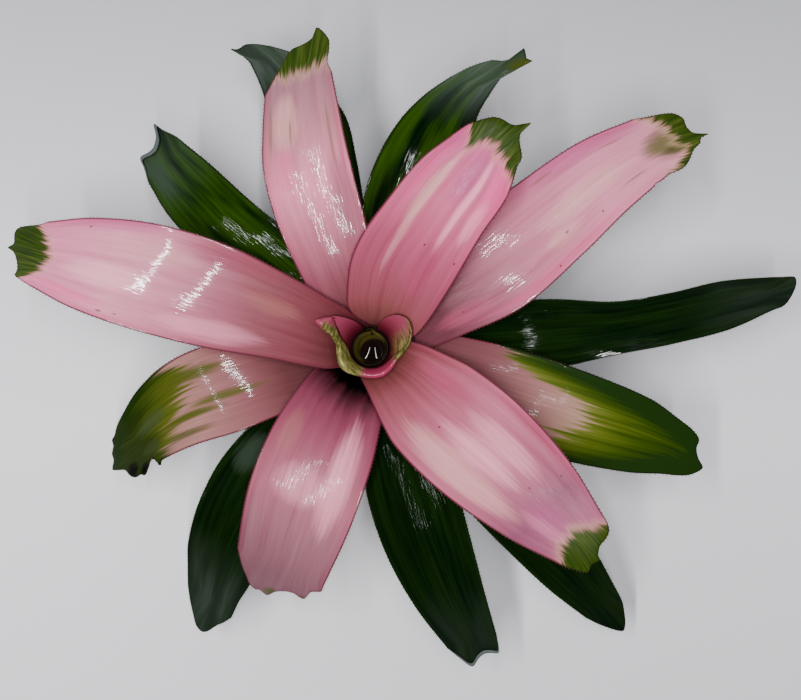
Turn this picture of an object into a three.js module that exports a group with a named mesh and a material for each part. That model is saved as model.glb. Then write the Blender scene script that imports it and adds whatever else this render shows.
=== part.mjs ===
// A neoregelia bromeliad, cut free at the foot of its stem: a rosette of strap leaves round a
// rolled heart that holds water. Millimetres, +Z up. The origin is the centre of the cut stem.
import * as THREE from "three";

// ---- Driving dimensions: the stem and the nested sheaths ----

const STEM_CUT_RADIUS = 16.5;
const STEM_COLLAR = { r: 17.2, z: 2.5 }; // worn stubs of older leaves, just over the cut
const STEM_WAIST_Z = 6.8; // the collar ends here, under the oldest sheath
const STEM_TOP_Z = 42; // where the youngest leaf sits
const STEM_DOME = 0.6; // how far the growing point stands over that
const OLDEST_SEAT_Z = 8; // where the oldest leaf sits
const OLDEST_RANK = 16;
const STEM_SIDES = 28;
const SEAT_GAP = 0.4; // sheath to stem, measured level

const LEAN = 80; // degrees the sheaths rise at where they start to flare
const BULGE_RADIUS = 190; // of the innermost sheath's long inward curve below the flare
const TUBE_RADIUS = 9.6; // middle of the rolled leaf's wall, at its rim
const TUBE_RIM_Z = 70;
const FLARE_Z = 60; // the sheaths start to turn outwards here
const FLARE_RADIUS = 50; // of the innermost sheath's outward turn
const SHEATH_PITCH = 1.3; // from one sheath to the next older one

const SHEATH_THICKNESS = 0.7;
const BLADE_THICKNESS = 0.95;
const MARGIN_THICKNESS = 0.6;
const THICKENS_FROM = 35; // distance from the axis where a sheath starts to thicken to its blade
const THICKENS_OVER = 30;

// ---- Driving dimensions: the blades ----

const CHANNEL = 0.17; // how far a blade's margins lift, as a share of its half width
const WRAP_END = 62; // beyond this distance from the axis a blade is free of the funnel
const WRAP_START = 24;
const MOST_WRAP = 78; // degrees that a sheath reaches to each side of its middle
const SHEATH_HALF_WIDTH = 26; // at the foot of the sheath, where the wrap allows it
const NECK_EXTRA = 3; // how much wider to each side the neck is than the blade's first station
const NECK_SETTLES = 12; // distance over which the neck narrows to the blade's own edges
const TIP_HALF_WIDTH = 0.3;
const WAVE_TURN = 0.11; // radians of a margin's waves to a millimetre
const WAVES_FROM = 70; // distance from the axis where the waves start
const WAVES_GROW = 50; // distance over which they grow
const BITE_SHARE = 0.6; // of the half width, to each side of the middle, that a bite takes
const ACROSS = 7; // strips across a leaf
const SHEATH_ROWS = 2;
const FLARE_STEP = 15; // degrees of the flare to a row, at most
const BLADE_ROWS = 10;
const CAP_ROWS = 4; // in the rounded end
const SPINE_LENGTH = 1.1;
const SPINE_BASE = 1.1;
const FEWEST_SPINE_ROOM = 3.5; // no spine on a shorter stretch of margin
const SPINED_FROM = 22; // distance from the axis where the spines start

// Each leaf has its rank from the heart outwards, the azimuth that its sheath faces, the slopes in
// degrees that its blade starts and ends with (bend above 1 keeps the turn for the end), its edges
// as [distance from the axis, right edge, left edge] from its own straight axis, and its end:
// [reach, sideways place, half width, bluntness]. A bite is the depth of a notch in the end, a
// point the length of its hooked tip, and a wave the rise and fall of its margins.
const LEAVES = [
  {
    name: "pink_leaf_1", rank: 2, azimuth: -45, start: 38, finish: -8, bend: 1.3, roll: 0,
    edges: [
      [15, -19, 19], [30, -25, 26], [50, -28, 32],
      [80, -26, 34.5], [115, -19, 31.5], [145, -9, 24],
    ],
    end: [158.5, 1, 3, 2.4], point: 1.5, bite: 0, wave: 0.4,
  },
  {
    name: "pink_leaf_2", rank: 3, azimuth: 164.5, start: 30, finish: -21, bend: 0.8, roll: 3,
    edges: [
      [15, -18, 18], [30, -20, 19], [50, -25, 19.6], [85, -31.9, 22.9],
      [123, -32.8, 23.6], [156, -27.4, 21.3], [180, -19.2, 16.4],
    ],
    end: [199, -2, 5.3, 2.6], point: 1.5, bite: 0, wave: 0.4,
  },
  {
    name: "pink_leaf_3", rank: 4, azimuth: 64, start: 40, finish: -6, bend: 1.1, roll: -3,
    edges: [
      [15, -19, 19], [30, -23, 26.5], [47, -24.5, 30.6],
      [80, -27.1, 24.1], [101, -30.2, 17.9], [117, -28, 9.3],
    ],
    end: [137, -20, 1.4, 2], point: 3.5, bite: 0, wave: 0.4,
  },
  {
    name: "pink_leaf_4", rank: 5, azimuth: -114, start: 26, finish: -45, bend: 1.25, roll: 2,
    edges: [[18, -19, 19], [35, -26, 22], [59, -29.9, 26.8], [90, -29, 29.6], [125, -21.5, 29.5]],
    end: [141, 7.7, 14.6, 3.2], point: 0, bite: 2, wave: 0.5,
  },
  {
    name: "pink_leaf_5", rank: 6, azimuth: 110, start: 18, finish: -15, bend: 0.7, roll: -2,
    edges: [
      [18, -18, 18], [45, -19.5, 21], [80, -22.7, 23.5],
      [107, -25.7, 20.9], [128, -28.9, 13.9], [145, -31.6, 6.8],
    ],
    end: [170, -31.7, 2.1, 2], point: 1, bite: 0, wave: 0.5,
  },
  {
    name: "pink_leaf_6", rank: 7, azimuth: 34, start: 14, finish: -6, bend: 0.6, roll: 2,
    edges: [
      [20, -17, 18], [45, -22, 22], [80, -27.7, 26.5],
      [122, -22.3, 28.5], [154, -16.2, 28.2], [184, -12.6, 22.6],
    ],
    end: [214, -2.7, 1.9, 2], point: 2.5, bite: 0, wave: 0.5,
  },
  {
    name: "streaked_leaf_1", rank: 8, azimuth: -18, start: 12, finish: -20, bend: 1.1, roll: 0,
    edges: [
      [22, -18, 18], [45, -21, 21], [75, -25, 23.6],
      [115, -25, 23.5], [151, -20.7, 20.6], [171, -15.8, 14.9],
    ],
    end: [190, -1, 5, 2.4], point: 0, bite: 2.5, wave: 0.5,
  },
  {
    name: "streaked_leaf_2", rank: 9, azimuth: -160, start: 14, finish: -50, bend: 1.6, roll: 4,
    edges: [
      [24, -20, 18], [50, -25, 17], [80, -31, 18],
      [105, -29.5, 16.8], [125, -21.5, 18.5], [140, -11.5, 21.5],
    ],
    end: [157, 13, 6, 2], point: 0, bite: 2, wave: 0.8,
  },
  {
    name: "green_leaf_1", rank: 10, azimuth: 70, start: 5, finish: -14, bend: 1.2, roll: -8,
    edges: [
      [24, -18, 18], [50, -18, 25], [77, -17, 30.8], [100, -14.5, 31],
      [121, -12.5, 26.8], [139, -12, 18.8], [153, -14.5, 9.2],
    ],
    end: [179, -23, 1.6, 1.6], point: 2.5, bite: 0, wave: 0.8,
  },
  {
    name: "green_leaf_2", rank: 11, azimuth: -74, start: 7, finish: -32, bend: 1.2, roll: 0,
    edges: [
      [25, -18, 18], [50, -20, 21], [80, -23.5, 24],
      [110, -22, 24], [140, -15.7, 23.4], [170, -5, 23.3],
    ],
    end: [188, 11, 7, 2.4], point: 0, bite: 4, wave: 0.8,
  },
  {
    name: "green_leaf_3", rank: 12, azimuth: 138, start: 5, finish: -22, bend: 1.2, roll: 4,
    edges: [[26, -18, 18], [60, -18, 20], [100, -16, 22], [130, -16.2, 19.5], [150, -15.3, 14]],
    end: [170, -9, 3, 1.8], point: 2.5, bite: 0, wave: 1.4,
  },
  {
    name: "green_leaf_4", rank: 13, azimuth: 5, start: 4, finish: -22, bend: 1.2, roll: 0,
    edges: [
      [27, -18, 18], [60, -20, 19.5], [100, -19.5, 17.7], [135, -15, 13.6],
      [165, -12.2, 15.6], [195, -7.5, 19.8], [225, 1.5, 19.8],
    ],
    end: [240, 12, 7, 3], point: 0, bite: 1, wave: 2,
  },
  {
    name: "green_leaf_5", rank: 14, azimuth: -126, start: -2, finish: -36, bend: 1.2, roll: 0,
    edges: [
      [28, -19, 18], [60, -26, 18], [95, -30, 19],
      [120, -27, 20.5], [145, -18.8, 22], [168, -5, 23.8],
    ],
    end: [189, 13, 2, 2], point: 1, bite: 0, wave: 1.6,
  },
  {
    name: "green_leaf_6", rank: 15, azimuth: 106, start: -3, finish: -26, bend: 1.2, roll: 0,
    edges: [
      [29, -18, 18], [60, -17, 18], [100, -21.2, 19],
      [125, -22, 18.5], [150, -13.3, 18.9], [172, -1.5, 24],
    ],
    end: [184, 23, 3, 2], point: 1.5, bite: 0, wave: 1,
  },
  {
    name: "green_leaf_7", rank: 16, azimuth: -48, start: -5, finish: -28, bend: 1.2, roll: 0,
    edges: [[30, -18, 18], [60, -20, 20], [110, -19.5, 20], [160, -17, 18.4], [195, -12, 11.5]],
    end: [217, -0.5, 1.5, 2], point: 2, bite: 0, wave: 1.2,
  },
];

// ---- Driving dimensions: the heart ----

const TUBE_SEAM_AZIMUTH = 98;
const TUBE_OVERLAP = 18; // degrees that the rolled leaf laps over itself
const TUBE_LAP_TURN = 40; // degrees that it takes to step outwards for the lap
const TUBE_LAP_STEP = 1.15;
const TUBE_COLUMNS = 26;
const TUBE_TIP_RISE = 2.2; // the leaf's own tip on the rim, at the seam
const TUBE_TIP_TURN = 24; // degrees of the rim that the tip takes

const WATER_TOP_Z = 60.5;
const WATER_FOOT_Z = 46;
const WATER_GAP = 0.4;
const WATER_DISH = 0.5; // how far the meniscus climbs
const WATER_MENISCUS = 1.4; // how far in from the wall it climbs
const WATER_SIDES = 24;

const HEART_FOOT_AZIMUTHS = [112, 432]; // the funnel leaf's two edges, in degrees
const HEART_COLUMNS = 30;
// The funnel leaf's rim: [azimuth, distance of the fold from the axis, distance of the margin].
// Where both distances are alike the margin stands plain, and elsewhere it is rolled inwards.
const HEART_RIM = [
  [112, 12, 12],
  [128, 19.5, 19.5],
  [140, 26, 25.5],
  [154, 31, 25],
  [163, 22, 16],
  [177, 18, 12.4],
  [212, 18.7, 11.2],
  [252, 16, 11],
  [295, 16.5, 11.4],
  [333, 16, 12.6],
  [349, 17.6, 15],
  [369, 22, 20],
  [395, 24.6, 24.6],
  [408, 23, 23],
  [420, 18.6, 18.6],
  [432, 12, 12],
];
const HEART_ROLL_RISE = 1.6; // how far the roll stands over the fold
const HEART_ROLL_FULL = 3; // a roll this wide, from fold to margin, is fully rolled
const HEART_MARGIN_Z = 72.6; // lowest place of the rolled margin
const HEART_PLAIN_MARGIN = 1.2; // how far the margin goes on past the fold where it isn't rolled
// The roll's section from the fold to the margin: [shares of the way in, of the rise, of the fall].
const HEART_ROLL = [
  [-0.05, 0.75, 0],
  [0.28, 1.3, 0],
  [0.65, 0.62, 0.38],
  [1, 0, 1],
];
const HEART_FLARE_ROWS = 3;

// ---- Small helpers ----

const radians = (degrees) => (degrees * Math.PI) / 180;
const mix = (a, b, share) => a + (b - a) * share;
const clamp = (x) => Math.min(Math.max(x, 0), 1);
const ease = (x) => clamp(x) ** 2 * (3 - 2 * clamp(x));

// The smooth curve through points [x, y1, y2, ...], at x, for one of the y columns.
function along(points, x, column) {
  const last = points.length - 1;
  let i = 0;
  while (i < last - 1 && x > points[i + 1][0]) i += 1;
  const slope = (j) => {
    const a = points[Math.max(j - 1, 0)];
    const b = points[Math.min(j + 1, last)];
    return (b[column] - a[column]) / (b[0] - a[0]);
  };
  const step = points[i + 1][0] - points[i][0];
  const t = (x - points[i][0]) / step;
  if (t < 0) return points[i][column];
  if (t > 1) return points[last][column] + slope(last) * (x - points[last][0]);
  const h = 3 * t * t - 2 * t * t * t;
  return (
    mix(points[i][column], points[i + 1][column], h) +
    step * (slope(i) * (t ** 3 - 2 * t * t + t) + slope(i + 1) * (t ** 3 - t * t))
  );
}

// ---- The nested funnels that the sheaths lie on ----

const lean = radians(LEAN);
const flareStartRadius = TUBE_RADIUS - (TUBE_RIM_Z - FLARE_Z) / Math.tan(lean);
const flareCentre = {
  r: flareStartRadius + FLARE_RADIUS * Math.sin(lean),
  z: FLARE_Z - FLARE_RADIUS * Math.cos(lean),
};
const bulgeCentre = {
  r: flareStartRadius - BULGE_RADIUS * Math.sin(lean),
  z: FLARE_Z + BULGE_RADIUS * Math.cos(lean),
};

// Where a rank's flare has the given slope, as distance from the axis and height.
function onFlare(rank, slope) {
  const radius = FLARE_RADIUS - SHEATH_PITCH * rank;
  return {
    r: flareCentre.r - radius * Math.sin(slope),
    z: flareCentre.z + radius * Math.cos(slope),
    slope,
  };
}

// A rank's sheath at height z, below its flare.
function onSheath(rank, z) {
  const radius = BULGE_RADIUS + SHEATH_PITCH * rank;
  const slope = Math.acos((bulgeCentre.z - z) / radius);
  return { r: bulgeCentre.r + radius * Math.sin(slope), z, slope };
}

// The wall of the rolled tube at height z: on its sheath, and straight above it.
function tubeRadius(z) {
  return z < FLARE_Z ? onSheath(0, z).r : TUBE_RADIUS - (TUBE_RIM_Z - z) / Math.tan(lean);
}

function seatHeight(rank) {
  return mix(STEM_TOP_Z, OLDEST_SEAT_Z, rank / OLDEST_RANK);
}

// ---- A sheet of living tissue: a grid of points given thickness, closed round its edges ----

// grid[row][column] are points. thickness(row, column) is in mm. spines(row) tells whether the two
// margins carry a spine between this row and the next.
function sheetGeometry(grid, thickness, spines) {
  const rows = grid.length;
  const columns = grid[0].length;
  const positions = [];
  const faces = [];
  const push = (p) => positions.push(p.x, p.y, p.z) / 3 - 1;
  const face = (a, b, c) => faces.push(a, b, c);
  const quad = (a, b, c, d) => {
    face(a, b, c);
    face(a, c, d);
  };

  const upper = [];
  const lower = [];
  for (let i = 0; i < rows; i += 1) {
    upper.push([]);
    lower.push([]);
    for (let j = 0; j < columns; j += 1) {
      const forward = grid[Math.min(i + 1, rows - 1)][j].clone().sub(grid[Math.max(i - 1, 0)][j]);
      const sideways = grid[i][Math.min(j + 1, columns - 1)].clone().sub(grid[i][Math.max(j - 1, 0)]);
      const normal = forward.cross(sideways).normalize();
      const half = thickness(i, j) / 2;
      upper[i].push(push(grid[i][j].clone().addScaledVector(normal, half)));
      lower[i].push(push(grid[i][j].clone().addScaledVector(normal, -half)));
    }
  }

  const at = (index) => new THREE.Vector3().fromArray(positions, index * 3);
  const between = (a, b, share) => push(at(a).lerp(at(b), share));

  // One margin's strip between two rows, with a spine in its middle: both faces are fans that
  // split alike, and the spine is a four-sided point on the wall between them.
  function spinedStrip(i, edge, inner, flip) {
    const turn = (a, b, c) => (flip ? face(a, c, b) : face(a, b, c));
    const start = at(upper[i][edge]);
    const length = start.distanceTo(at(upper[i + 1][edge]));
    const shares = [0.5 - SPINE_BASE / length / 2, 0.5 + SPINE_BASE / length / 2];
    const high = shares.map((s) => between(upper[i][edge], upper[i + 1][edge], s));
    const low = shares.map((s) => between(lower[i][edge], lower[i + 1][edge], s));
    const outwards = grid[i][edge].clone().sub(grid[i][inner]).normalize();
    const forwards = grid[i + 1][edge].clone().sub(grid[i][edge]).normalize();
    outwards.addScaledVector(forwards, -outwards.dot(forwards)).normalize();
    const root = at(high[0]).add(at(high[1])).add(at(low[0])).add(at(low[1])).multiplyScalar(0.25);
    root.addScaledVector(outwards, SPINE_LENGTH).addScaledVector(forwards, SPINE_LENGTH / 2);
    const point = push(root);
    const top = [upper[i][edge], high[0], high[1], upper[i + 1][edge], upper[i + 1][inner]];
    const bottom = [lower[i][edge], low[0], low[1], lower[i + 1][edge], lower[i + 1][inner]];
    for (let n = 0; n < 4; n += 1) {
      turn(upper[i][inner], top[n], top[n + 1]);
      turn(lower[i][inner], bottom[n + 1], bottom[n]);
    }
    for (const n of [0, 2]) {
      turn(top[n], bottom[n], bottom[n + 1]);
      turn(top[n], bottom[n + 1], top[n + 1]);
    }
    const ring = [high[0], low[0], low[1], high[1]];
    for (let n = 0; n < 4; n += 1) turn(ring[n], ring[(n + 1) % 4], point);
  }

  const last = columns - 1;
  for (let i = 0; i < rows - 1; i += 1) {
    const spined = spines(i);
    for (let j = 0; j < last; j += 1) {
      if (spined && j === 0) {
        spinedStrip(i, 0, 1, false);
      } else if (spined && j === last - 1) {
        spinedStrip(i, last, last - 1, true);
      } else {
        const [a, b, c, d] = [upper[i][j], upper[i + 1][j], upper[i + 1][j + 1], upper[i][j + 1]];
        const [e, f, g, h] = [lower[i][j], lower[i + 1][j], lower[i + 1][j + 1], lower[i][j + 1]];
        // The diagonal runs from the inner corner, as in the spined strips.
        if (j < last / 2) {
          quad(d, a, b, c);
          quad(h, g, f, e);
        } else {
          quad(a, b, c, d);
          quad(e, h, g, f);
        }
      }
    }
    if (!spined) {
      quad(upper[i][0], lower[i][0], lower[i + 1][0], upper[i + 1][0]);
      quad(upper[i + 1][last], lower[i + 1][last], lower[i][last], upper[i][last]);
    }
  }
  for (let j = 0; j < last; j += 1) {
    quad(upper[0][j + 1], lower[0][j + 1], lower[0][j], upper[0][j]);
    quad(upper[rows - 1][j], lower[rows - 1][j], lower[rows - 1][j + 1], upper[rows - 1][j + 1]);
  }

  const geometry = new THREE.BufferGeometry();
  geometry.setAttribute("position", new THREE.Float32BufferAttribute(positions, 3));
  geometry.setIndex(faces);
  geometry.computeVertexNormals();
  return geometry;
}

// ---- A strap leaf ----

// The leaf's middle line and edges from its foot on the stem to its tip.
function leafStations(leaf) {
  const stations = [];
  const [reach, endAside, endHalf, bluntness] = leaf.end;
  const start = radians(leaf.start);

  const first = leaf.edges[0];
  const neck = onFlare(leaf.rank, lean);
  const neckHalf = Math.min((first[2] - first[1]) / 2 + NECK_EXTRA, radians(MOST_WRAP) * neck.r);
  for (let i = 0; i < SHEATH_ROWS; i += 1) {
    const place = onSheath(leaf.rank, mix(seatHeight(leaf.rank), neck.z, i / SHEATH_ROWS));
    const wide = Math.min(SHEATH_HALF_WIDTH, radians(MOST_WRAP) * place.r);
    const half = mix(wide, neckHalf, i / SHEATH_ROWS);
    stations.push({ ...place, right: -half, left: half });
  }
  const flareRows = Math.ceil((LEAN - leaf.start) / FLARE_STEP);
  for (let i = 0; i < flareRows; i += 1) {
    const place = onFlare(leaf.rank, mix(lean, start, i / flareRows));
    const settled = ease((place.r - first[0]) / NECK_SETTLES);
    stations.push({
      ...place,
      right: mix(-neckHalf, along(leaf.edges, place.r, 1), settled),
      left: mix(neckHalf, along(leaf.edges, place.r, 2), settled),
    });
  }

  const origin = onFlare(leaf.rank, start);
  const capStart = leaf.edges.at(-1)[0];
  const distances = [];
  for (let i = 0; i < BLADE_ROWS; i += 1) distances.push(mix(origin.r, capStart, i / BLADE_ROWS));
  for (let i = 0; i <= CAP_ROWS; i += 1) {
    distances.push(mix(capStart, reach, Math.sin(((i / CAP_ROWS) * Math.PI) / 2)));
  }
  const startRise = Math.tan(start);
  const finishRise = Math.tan(radians(leaf.finish));
  for (const r of distances) {
    const share = (r - origin.r) / (reach - origin.r);
    const rise = mix(startRise, finishRise, share ** leaf.bend);
    const turned = share ** (leaf.bend + 1) / (leaf.bend + 1);
    const climbed = startRise * share + (finishRise - startRise) * turned;
    const q = clamp((r - capStart) / (reach - capStart));
    const round = (1 - q ** bluntness) ** (1 / bluntness);
    stations.push({
      r,
      z: origin.z + climbed * (reach - origin.r),
      slope: Math.atan(rise),
      right: mix(endAside - endHalf, along(leaf.edges, r, 1), round),
      left: mix(endAside + endHalf, along(leaf.edges, r, 2), round),
      bite: leaf.bite * q * q,
    });
  }
  if (leaf.point > 0) {
    const tip = stations.at(-1);
    stations.push({
      ...tip,
      r: tip.r + leaf.point,
      z: tip.z + leaf.point * Math.tan(tip.slope),
      right: endAside - TIP_HALF_WIDTH,
      left: endAside + TIP_HALF_WIDTH,
    });
  }
  return stations;
}

// The point of the leaf's middle surface at a station, v from -1 at its right edge to 1 at its left.
function leafPoint(leaf, station, v) {
  const { r, z, slope, right, left } = station;
  const half = (left - right) / 2;
  const aside = (left + right) / 2 + half * v;
  const share = clamp((r - WRAP_END) / (leaf.end[0] - WRAP_END));
  const grown = ease((r - WAVES_FROM) / WAVES_GROW);
  const waves = leaf.wave * Math.sin(r * WAVE_TURN + leaf.rank + 2 * v) * v * v * grown;
  const lift = CHANNEL * half * v * v;
  const notch = (station.bite ?? 0) * Math.max(1 - Math.abs(v) / BITE_SHARE, 0);
  const free = new THREE.Vector3(
    r - lift * Math.sin(slope) - notch,
    aside,
    z + lift * Math.cos(slope) + waves + aside * Math.tan(radians(leaf.roll * share)),
  );
  const turn = aside / r;
  const wrapped = new THREE.Vector3(r * Math.cos(turn), r * Math.sin(turn), z);
  return wrapped
    .lerp(free, ease((r - WRAP_START) / (WRAP_END - WRAP_START)))
    .applyAxisAngle(new THREE.Vector3(0, 0, 1), radians(leaf.azimuth));
}

function leafGeometry(leaf) {
  const stations = leafStations(leaf);
  const grid = stations.map((station) => {
    const row = [];
    for (let j = 0; j <= ACROSS; j += 1) row.push(leafPoint(leaf, station, (2 * j) / ACROSS - 1));
    return row;
  });
  const thickness = (i, j) => {
    const v = (2 * j) / ACROSS - 1;
    const settled = ease((stations[i].r - THICKENS_FROM) / THICKENS_OVER);
    const body = mix(SHEATH_THICKNESS, BLADE_THICKNESS, settled);
    return mix(MARGIN_THICKNESS, body, 1 - v ** 4);
  };
  const spines = (i) =>
    stations[i].r > SPINED_FROM &&
    [0, ACROSS].every((j) => grid[i][j].distanceTo(grid[i + 1][j]) > FEWEST_SPINE_ROOM);
  return sheetGeometry(grid, thickness, spines);
}

// ---- The heart ----

// The youngest leaf, rolled into a tube that laps over itself at the seam.
function tubeGeometry() {
  const heights = [STEM_TOP_Z, mix(STEM_TOP_Z, FLARE_Z, 0.5), FLARE_Z, TUBE_RIM_Z];
  const turned = 360 + TUBE_OVERLAP;
  const grid = heights.map((height, i) => {
    const row = [];
    for (let j = 0; j <= TUBE_COLUMNS; j += 1) {
      const angle = (turned * j) / TUBE_COLUMNS;
      const lapped = ease((angle - turned + TUBE_LAP_TURN) / (TUBE_LAP_TURN - TUBE_OVERLAP));
      const lap = TUBE_LAP_STEP * lapped;
      const rise = TUBE_TIP_RISE * Math.max(1 - angle / TUBE_TIP_TURN, 0);
      const tip = i === heights.length - 1 ? rise : 0;
      const r = tubeRadius(height + tip) + lap;
      const azimuth = radians(TUBE_SEAM_AZIMUTH - TUBE_OVERLAP / 2 + angle);
      row.push(new THREE.Vector3(r * Math.cos(azimuth), r * Math.sin(azimuth), height + tip));
    }
    return row;
  });
  return sheetGeometry(grid, () => MARGIN_THICKNESS, () => false);
}

// The next leaf: a funnel round the tube, with two flaps and a margin rolled inwards between them.
function heartGeometry() {
  const rank = 1;
  const [from, to] = HEART_FOOT_AZIMUTHS;
  const foot = onSheath(rank, seatHeight(rank));
  const neck = onFlare(rank, lean);
  const waist = onSheath(rank, mix(foot.z, neck.z, 0.5));
  const radius = FLARE_RADIUS - SHEATH_PITCH * rank;
  const columns = [];
  for (let j = 0; j <= HEART_COLUMNS; j += 1) {
    const azimuth = mix(from, to, j / HEART_COLUMNS);
    const fold = along(HEART_RIM, azimuth, 1);
    const width = Math.max(fold - along(HEART_RIM, azimuth, 2), 0);
    const top = onFlare(rank, Math.asin((flareCentre.r - fold) / radius));
    const profile = [foot, waist, neck];
    for (let n = 1; n <= HEART_FLARE_ROWS; n += 1) {
      profile.push(onFlare(rank, mix(lean, top.slope, n / HEART_FLARE_ROWS)));
    }
    // From the fold the margin rolls over and back, or goes straight on where there is no roll.
    const rolled = ease(width / HEART_ROLL_FULL);
    const fall = Math.min(width, top.z - HEART_MARGIN_Z);
    HEART_ROLL.forEach(([inwards, up, down], n) => {
      const straight = (HEART_PLAIN_MARGIN * (n + 2)) / (HEART_ROLL.length + 1);
      profile.push({
        r: fold + mix(straight, -width * inwards, rolled),
        z: top.z + mix(straight, HEART_ROLL_RISE * up - fall * down, rolled),
      });
    });
    columns.push({ azimuth: radians(azimuth), profile });
  }
  const grid = columns[0].profile.map((_, i) =>
    columns.map(({ azimuth, profile }) => {
      const { r, z } = profile[i];
      return new THREE.Vector3(r * Math.cos(azimuth), r * Math.sin(azimuth), z);
    }),
  );
  return sheetGeometry(grid, () => MARGIN_THICKNESS, () => false);
}

// The water that the tube holds, dished where it climbs the wall.
function waterGeometry() {
  const wall = (z) => tubeRadius(z) - MARGIN_THICKNESS / 2 - WATER_GAP;
  const profile = [
    new THREE.Vector2(0, WATER_FOOT_Z),
    new THREE.Vector2(wall(WATER_FOOT_Z), WATER_FOOT_Z),
    new THREE.Vector2(wall(FLARE_Z), FLARE_Z),
    new THREE.Vector2(wall(WATER_TOP_Z), WATER_TOP_Z),
    new THREE.Vector2(wall(WATER_TOP_Z) - WATER_MENISCUS, WATER_TOP_Z - WATER_DISH),
    new THREE.Vector2(0, WATER_TOP_Z - WATER_DISH),
  ];
  return new THREE.LatheGeometry(profile, WATER_SIDES).rotateX(Math.PI / 2);
}

// ---- The stem: a short cone, cut flat, that every sheath sits on ----

function stemGeometry() {
  const seat = (rank) => {
    const foot = onSheath(rank, seatHeight(rank));
    return new THREE.Vector2(foot.r - SHEATH_THICKNESS / 2 - SEAT_GAP, foot.z);
  };
  const profile = [
    new THREE.Vector2(0, 0),
    new THREE.Vector2(STEM_CUT_RADIUS, 0),
    new THREE.Vector2(STEM_COLLAR.r, STEM_COLLAR.z),
    new THREE.Vector2(seat(OLDEST_RANK).x, STEM_WAIST_Z),
    seat(OLDEST_RANK),
    seat(OLDEST_RANK / 2),
    seat(0),
    new THREE.Vector2(0, STEM_TOP_Z + STEM_DOME),
  ];
  return new THREE.LatheGeometry(profile, STEM_SIDES).rotateX(Math.PI / 2);
}

// ---- The whole plant ----

const COLOURS = {
  pink: { color: 0xd78fa2, roughness: 0.32 },
  streaked: { color: 0x9aa24c, roughness: 0.32 },
  green: { color: 0x1f4a22, roughness: 0.28 },
  heart: { color: 0xb04a6b, roughness: 0.35 },
  tube: { color: 0x6f7426, roughness: 0.35 },
  water: { color: 0x1a1410, roughness: 0.05 },
  stem: { color: 0x8a7650, roughness: 0.8 },
};

const plant = new THREE.Group();

function addPiece(name, geometry, kind) {
  const material = new THREE.MeshStandardMaterial({ ...COLOURS[kind], metalness: 0 });
  const mesh = new THREE.Mesh(geometry, material);
  mesh.name = name;
  plant.add(mesh);
}

addPiece("stem", stemGeometry(), "stem");
for (const leaf of LEAVES) addPiece(leaf.name, leafGeometry(leaf), leaf.name.split("_")[0]);
addPiece("heart_funnel_leaf", heartGeometry(), "heart");
addPiece("heart_tube_leaf", tubeGeometry(), "tube");
addPiece("tank_water", waterGeometry(), "water");

export default plant;
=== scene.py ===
"""A neoregelia bromeliad seen from above: the finished leaves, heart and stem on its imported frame.

Shapes are worked out in millimetres, as the frame's own are, and become metres in their meshes.
"""

import math
import random

import bpy
import numpy as np
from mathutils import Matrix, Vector


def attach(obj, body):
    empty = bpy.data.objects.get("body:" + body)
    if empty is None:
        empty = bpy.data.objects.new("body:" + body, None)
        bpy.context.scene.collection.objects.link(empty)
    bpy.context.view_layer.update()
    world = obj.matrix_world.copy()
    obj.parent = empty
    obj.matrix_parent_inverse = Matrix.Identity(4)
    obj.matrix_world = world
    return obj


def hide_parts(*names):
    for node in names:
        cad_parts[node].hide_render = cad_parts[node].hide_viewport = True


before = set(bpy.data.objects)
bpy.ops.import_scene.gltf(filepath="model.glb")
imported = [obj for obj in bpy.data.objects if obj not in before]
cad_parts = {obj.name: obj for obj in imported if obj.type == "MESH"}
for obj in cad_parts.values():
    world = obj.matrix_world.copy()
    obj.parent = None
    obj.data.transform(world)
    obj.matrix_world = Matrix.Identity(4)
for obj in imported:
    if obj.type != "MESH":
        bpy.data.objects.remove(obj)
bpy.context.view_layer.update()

MM = 0.001
TINY = 1e-9

# ---- The nested sheaths' sizes (as in the frame) ----

STEM_TOP_Z = 42
OLDEST_SEAT_Z = 8
OLDEST_RANK = 16
LEAN = math.radians(80)  # how steeply the sheaths rise where they start to flare
BULGE_RADIUS = 190  # of the innermost sheath's long inward curve below the flare
TUBE_RADIUS = 9.6  # middle of the rolled leaf's wall, at its rim
TUBE_RIM_Z = 70
FLARE_Z = 60  # the sheaths start to turn outwards here
FLARE_RADIUS = 50  # of the innermost sheath's outward turn
SHEATH_PITCH = 1.3  # from one sheath to the next older one
SHEATH_THICKNESS = 0.7
BLADE_THICKNESS = 0.95
THICKENS_FROM = 35  # distance from the axis where a sheath thickens to its blade
THICKENS_OVER = 30

# ---- The blades' sizes (as in the frame, but finer) ----

CHANNEL = 0.17  # how far a blade's margins lift, as a share of its half width
WRAP_END = 62  # beyond this distance from the axis a blade is free of the funnel
WRAP_START = 24
MOST_WRAP = math.radians(78)  # that a sheath reaches to each side of its middle
SHEATH_HALF_WIDTH = 26  # at the foot of the sheath, where the wrap allows it
NECK_EXTRA = 3  # how much wider to each side the neck is than the first station
NECK_SETTLES = 12  # distance over which the neck narrows to the blade's own edges
WAVE_TURN = 0.11  # radians of a margin's waves to a millimetre
WAVES_FROM = 70
WAVES_GROW = 50
COLUMNS = 40
CLOSEST_COLUMNS = 0.015  # as a share of the half width
SHEATH_ROWS = 8
FLARE_STEP = math.radians(4)
BLADE_ROWS = 96
CAP_ROWS = 24
LIP_ROWS = 6
LIP_TURN = math.radians(205)
MARGIN_HALF_THICKNESS = 0.14
RIM_ROUNDING = 3  # how far from its margin a blade has its full thickness
SPINE_PITCH = 2.1
SPINE_PITCHES = (0.8, 1.2)  # least and most, as shares of the pitch
SPINE_LENGTHS = (0.5, 0.95)
SPINE_HALF_BASE = 0.34
SPINE_FLATNESS = 0.45
SPINE_SWEEP = 0.8  # how far forwards a spine points, as a share of its length
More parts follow.
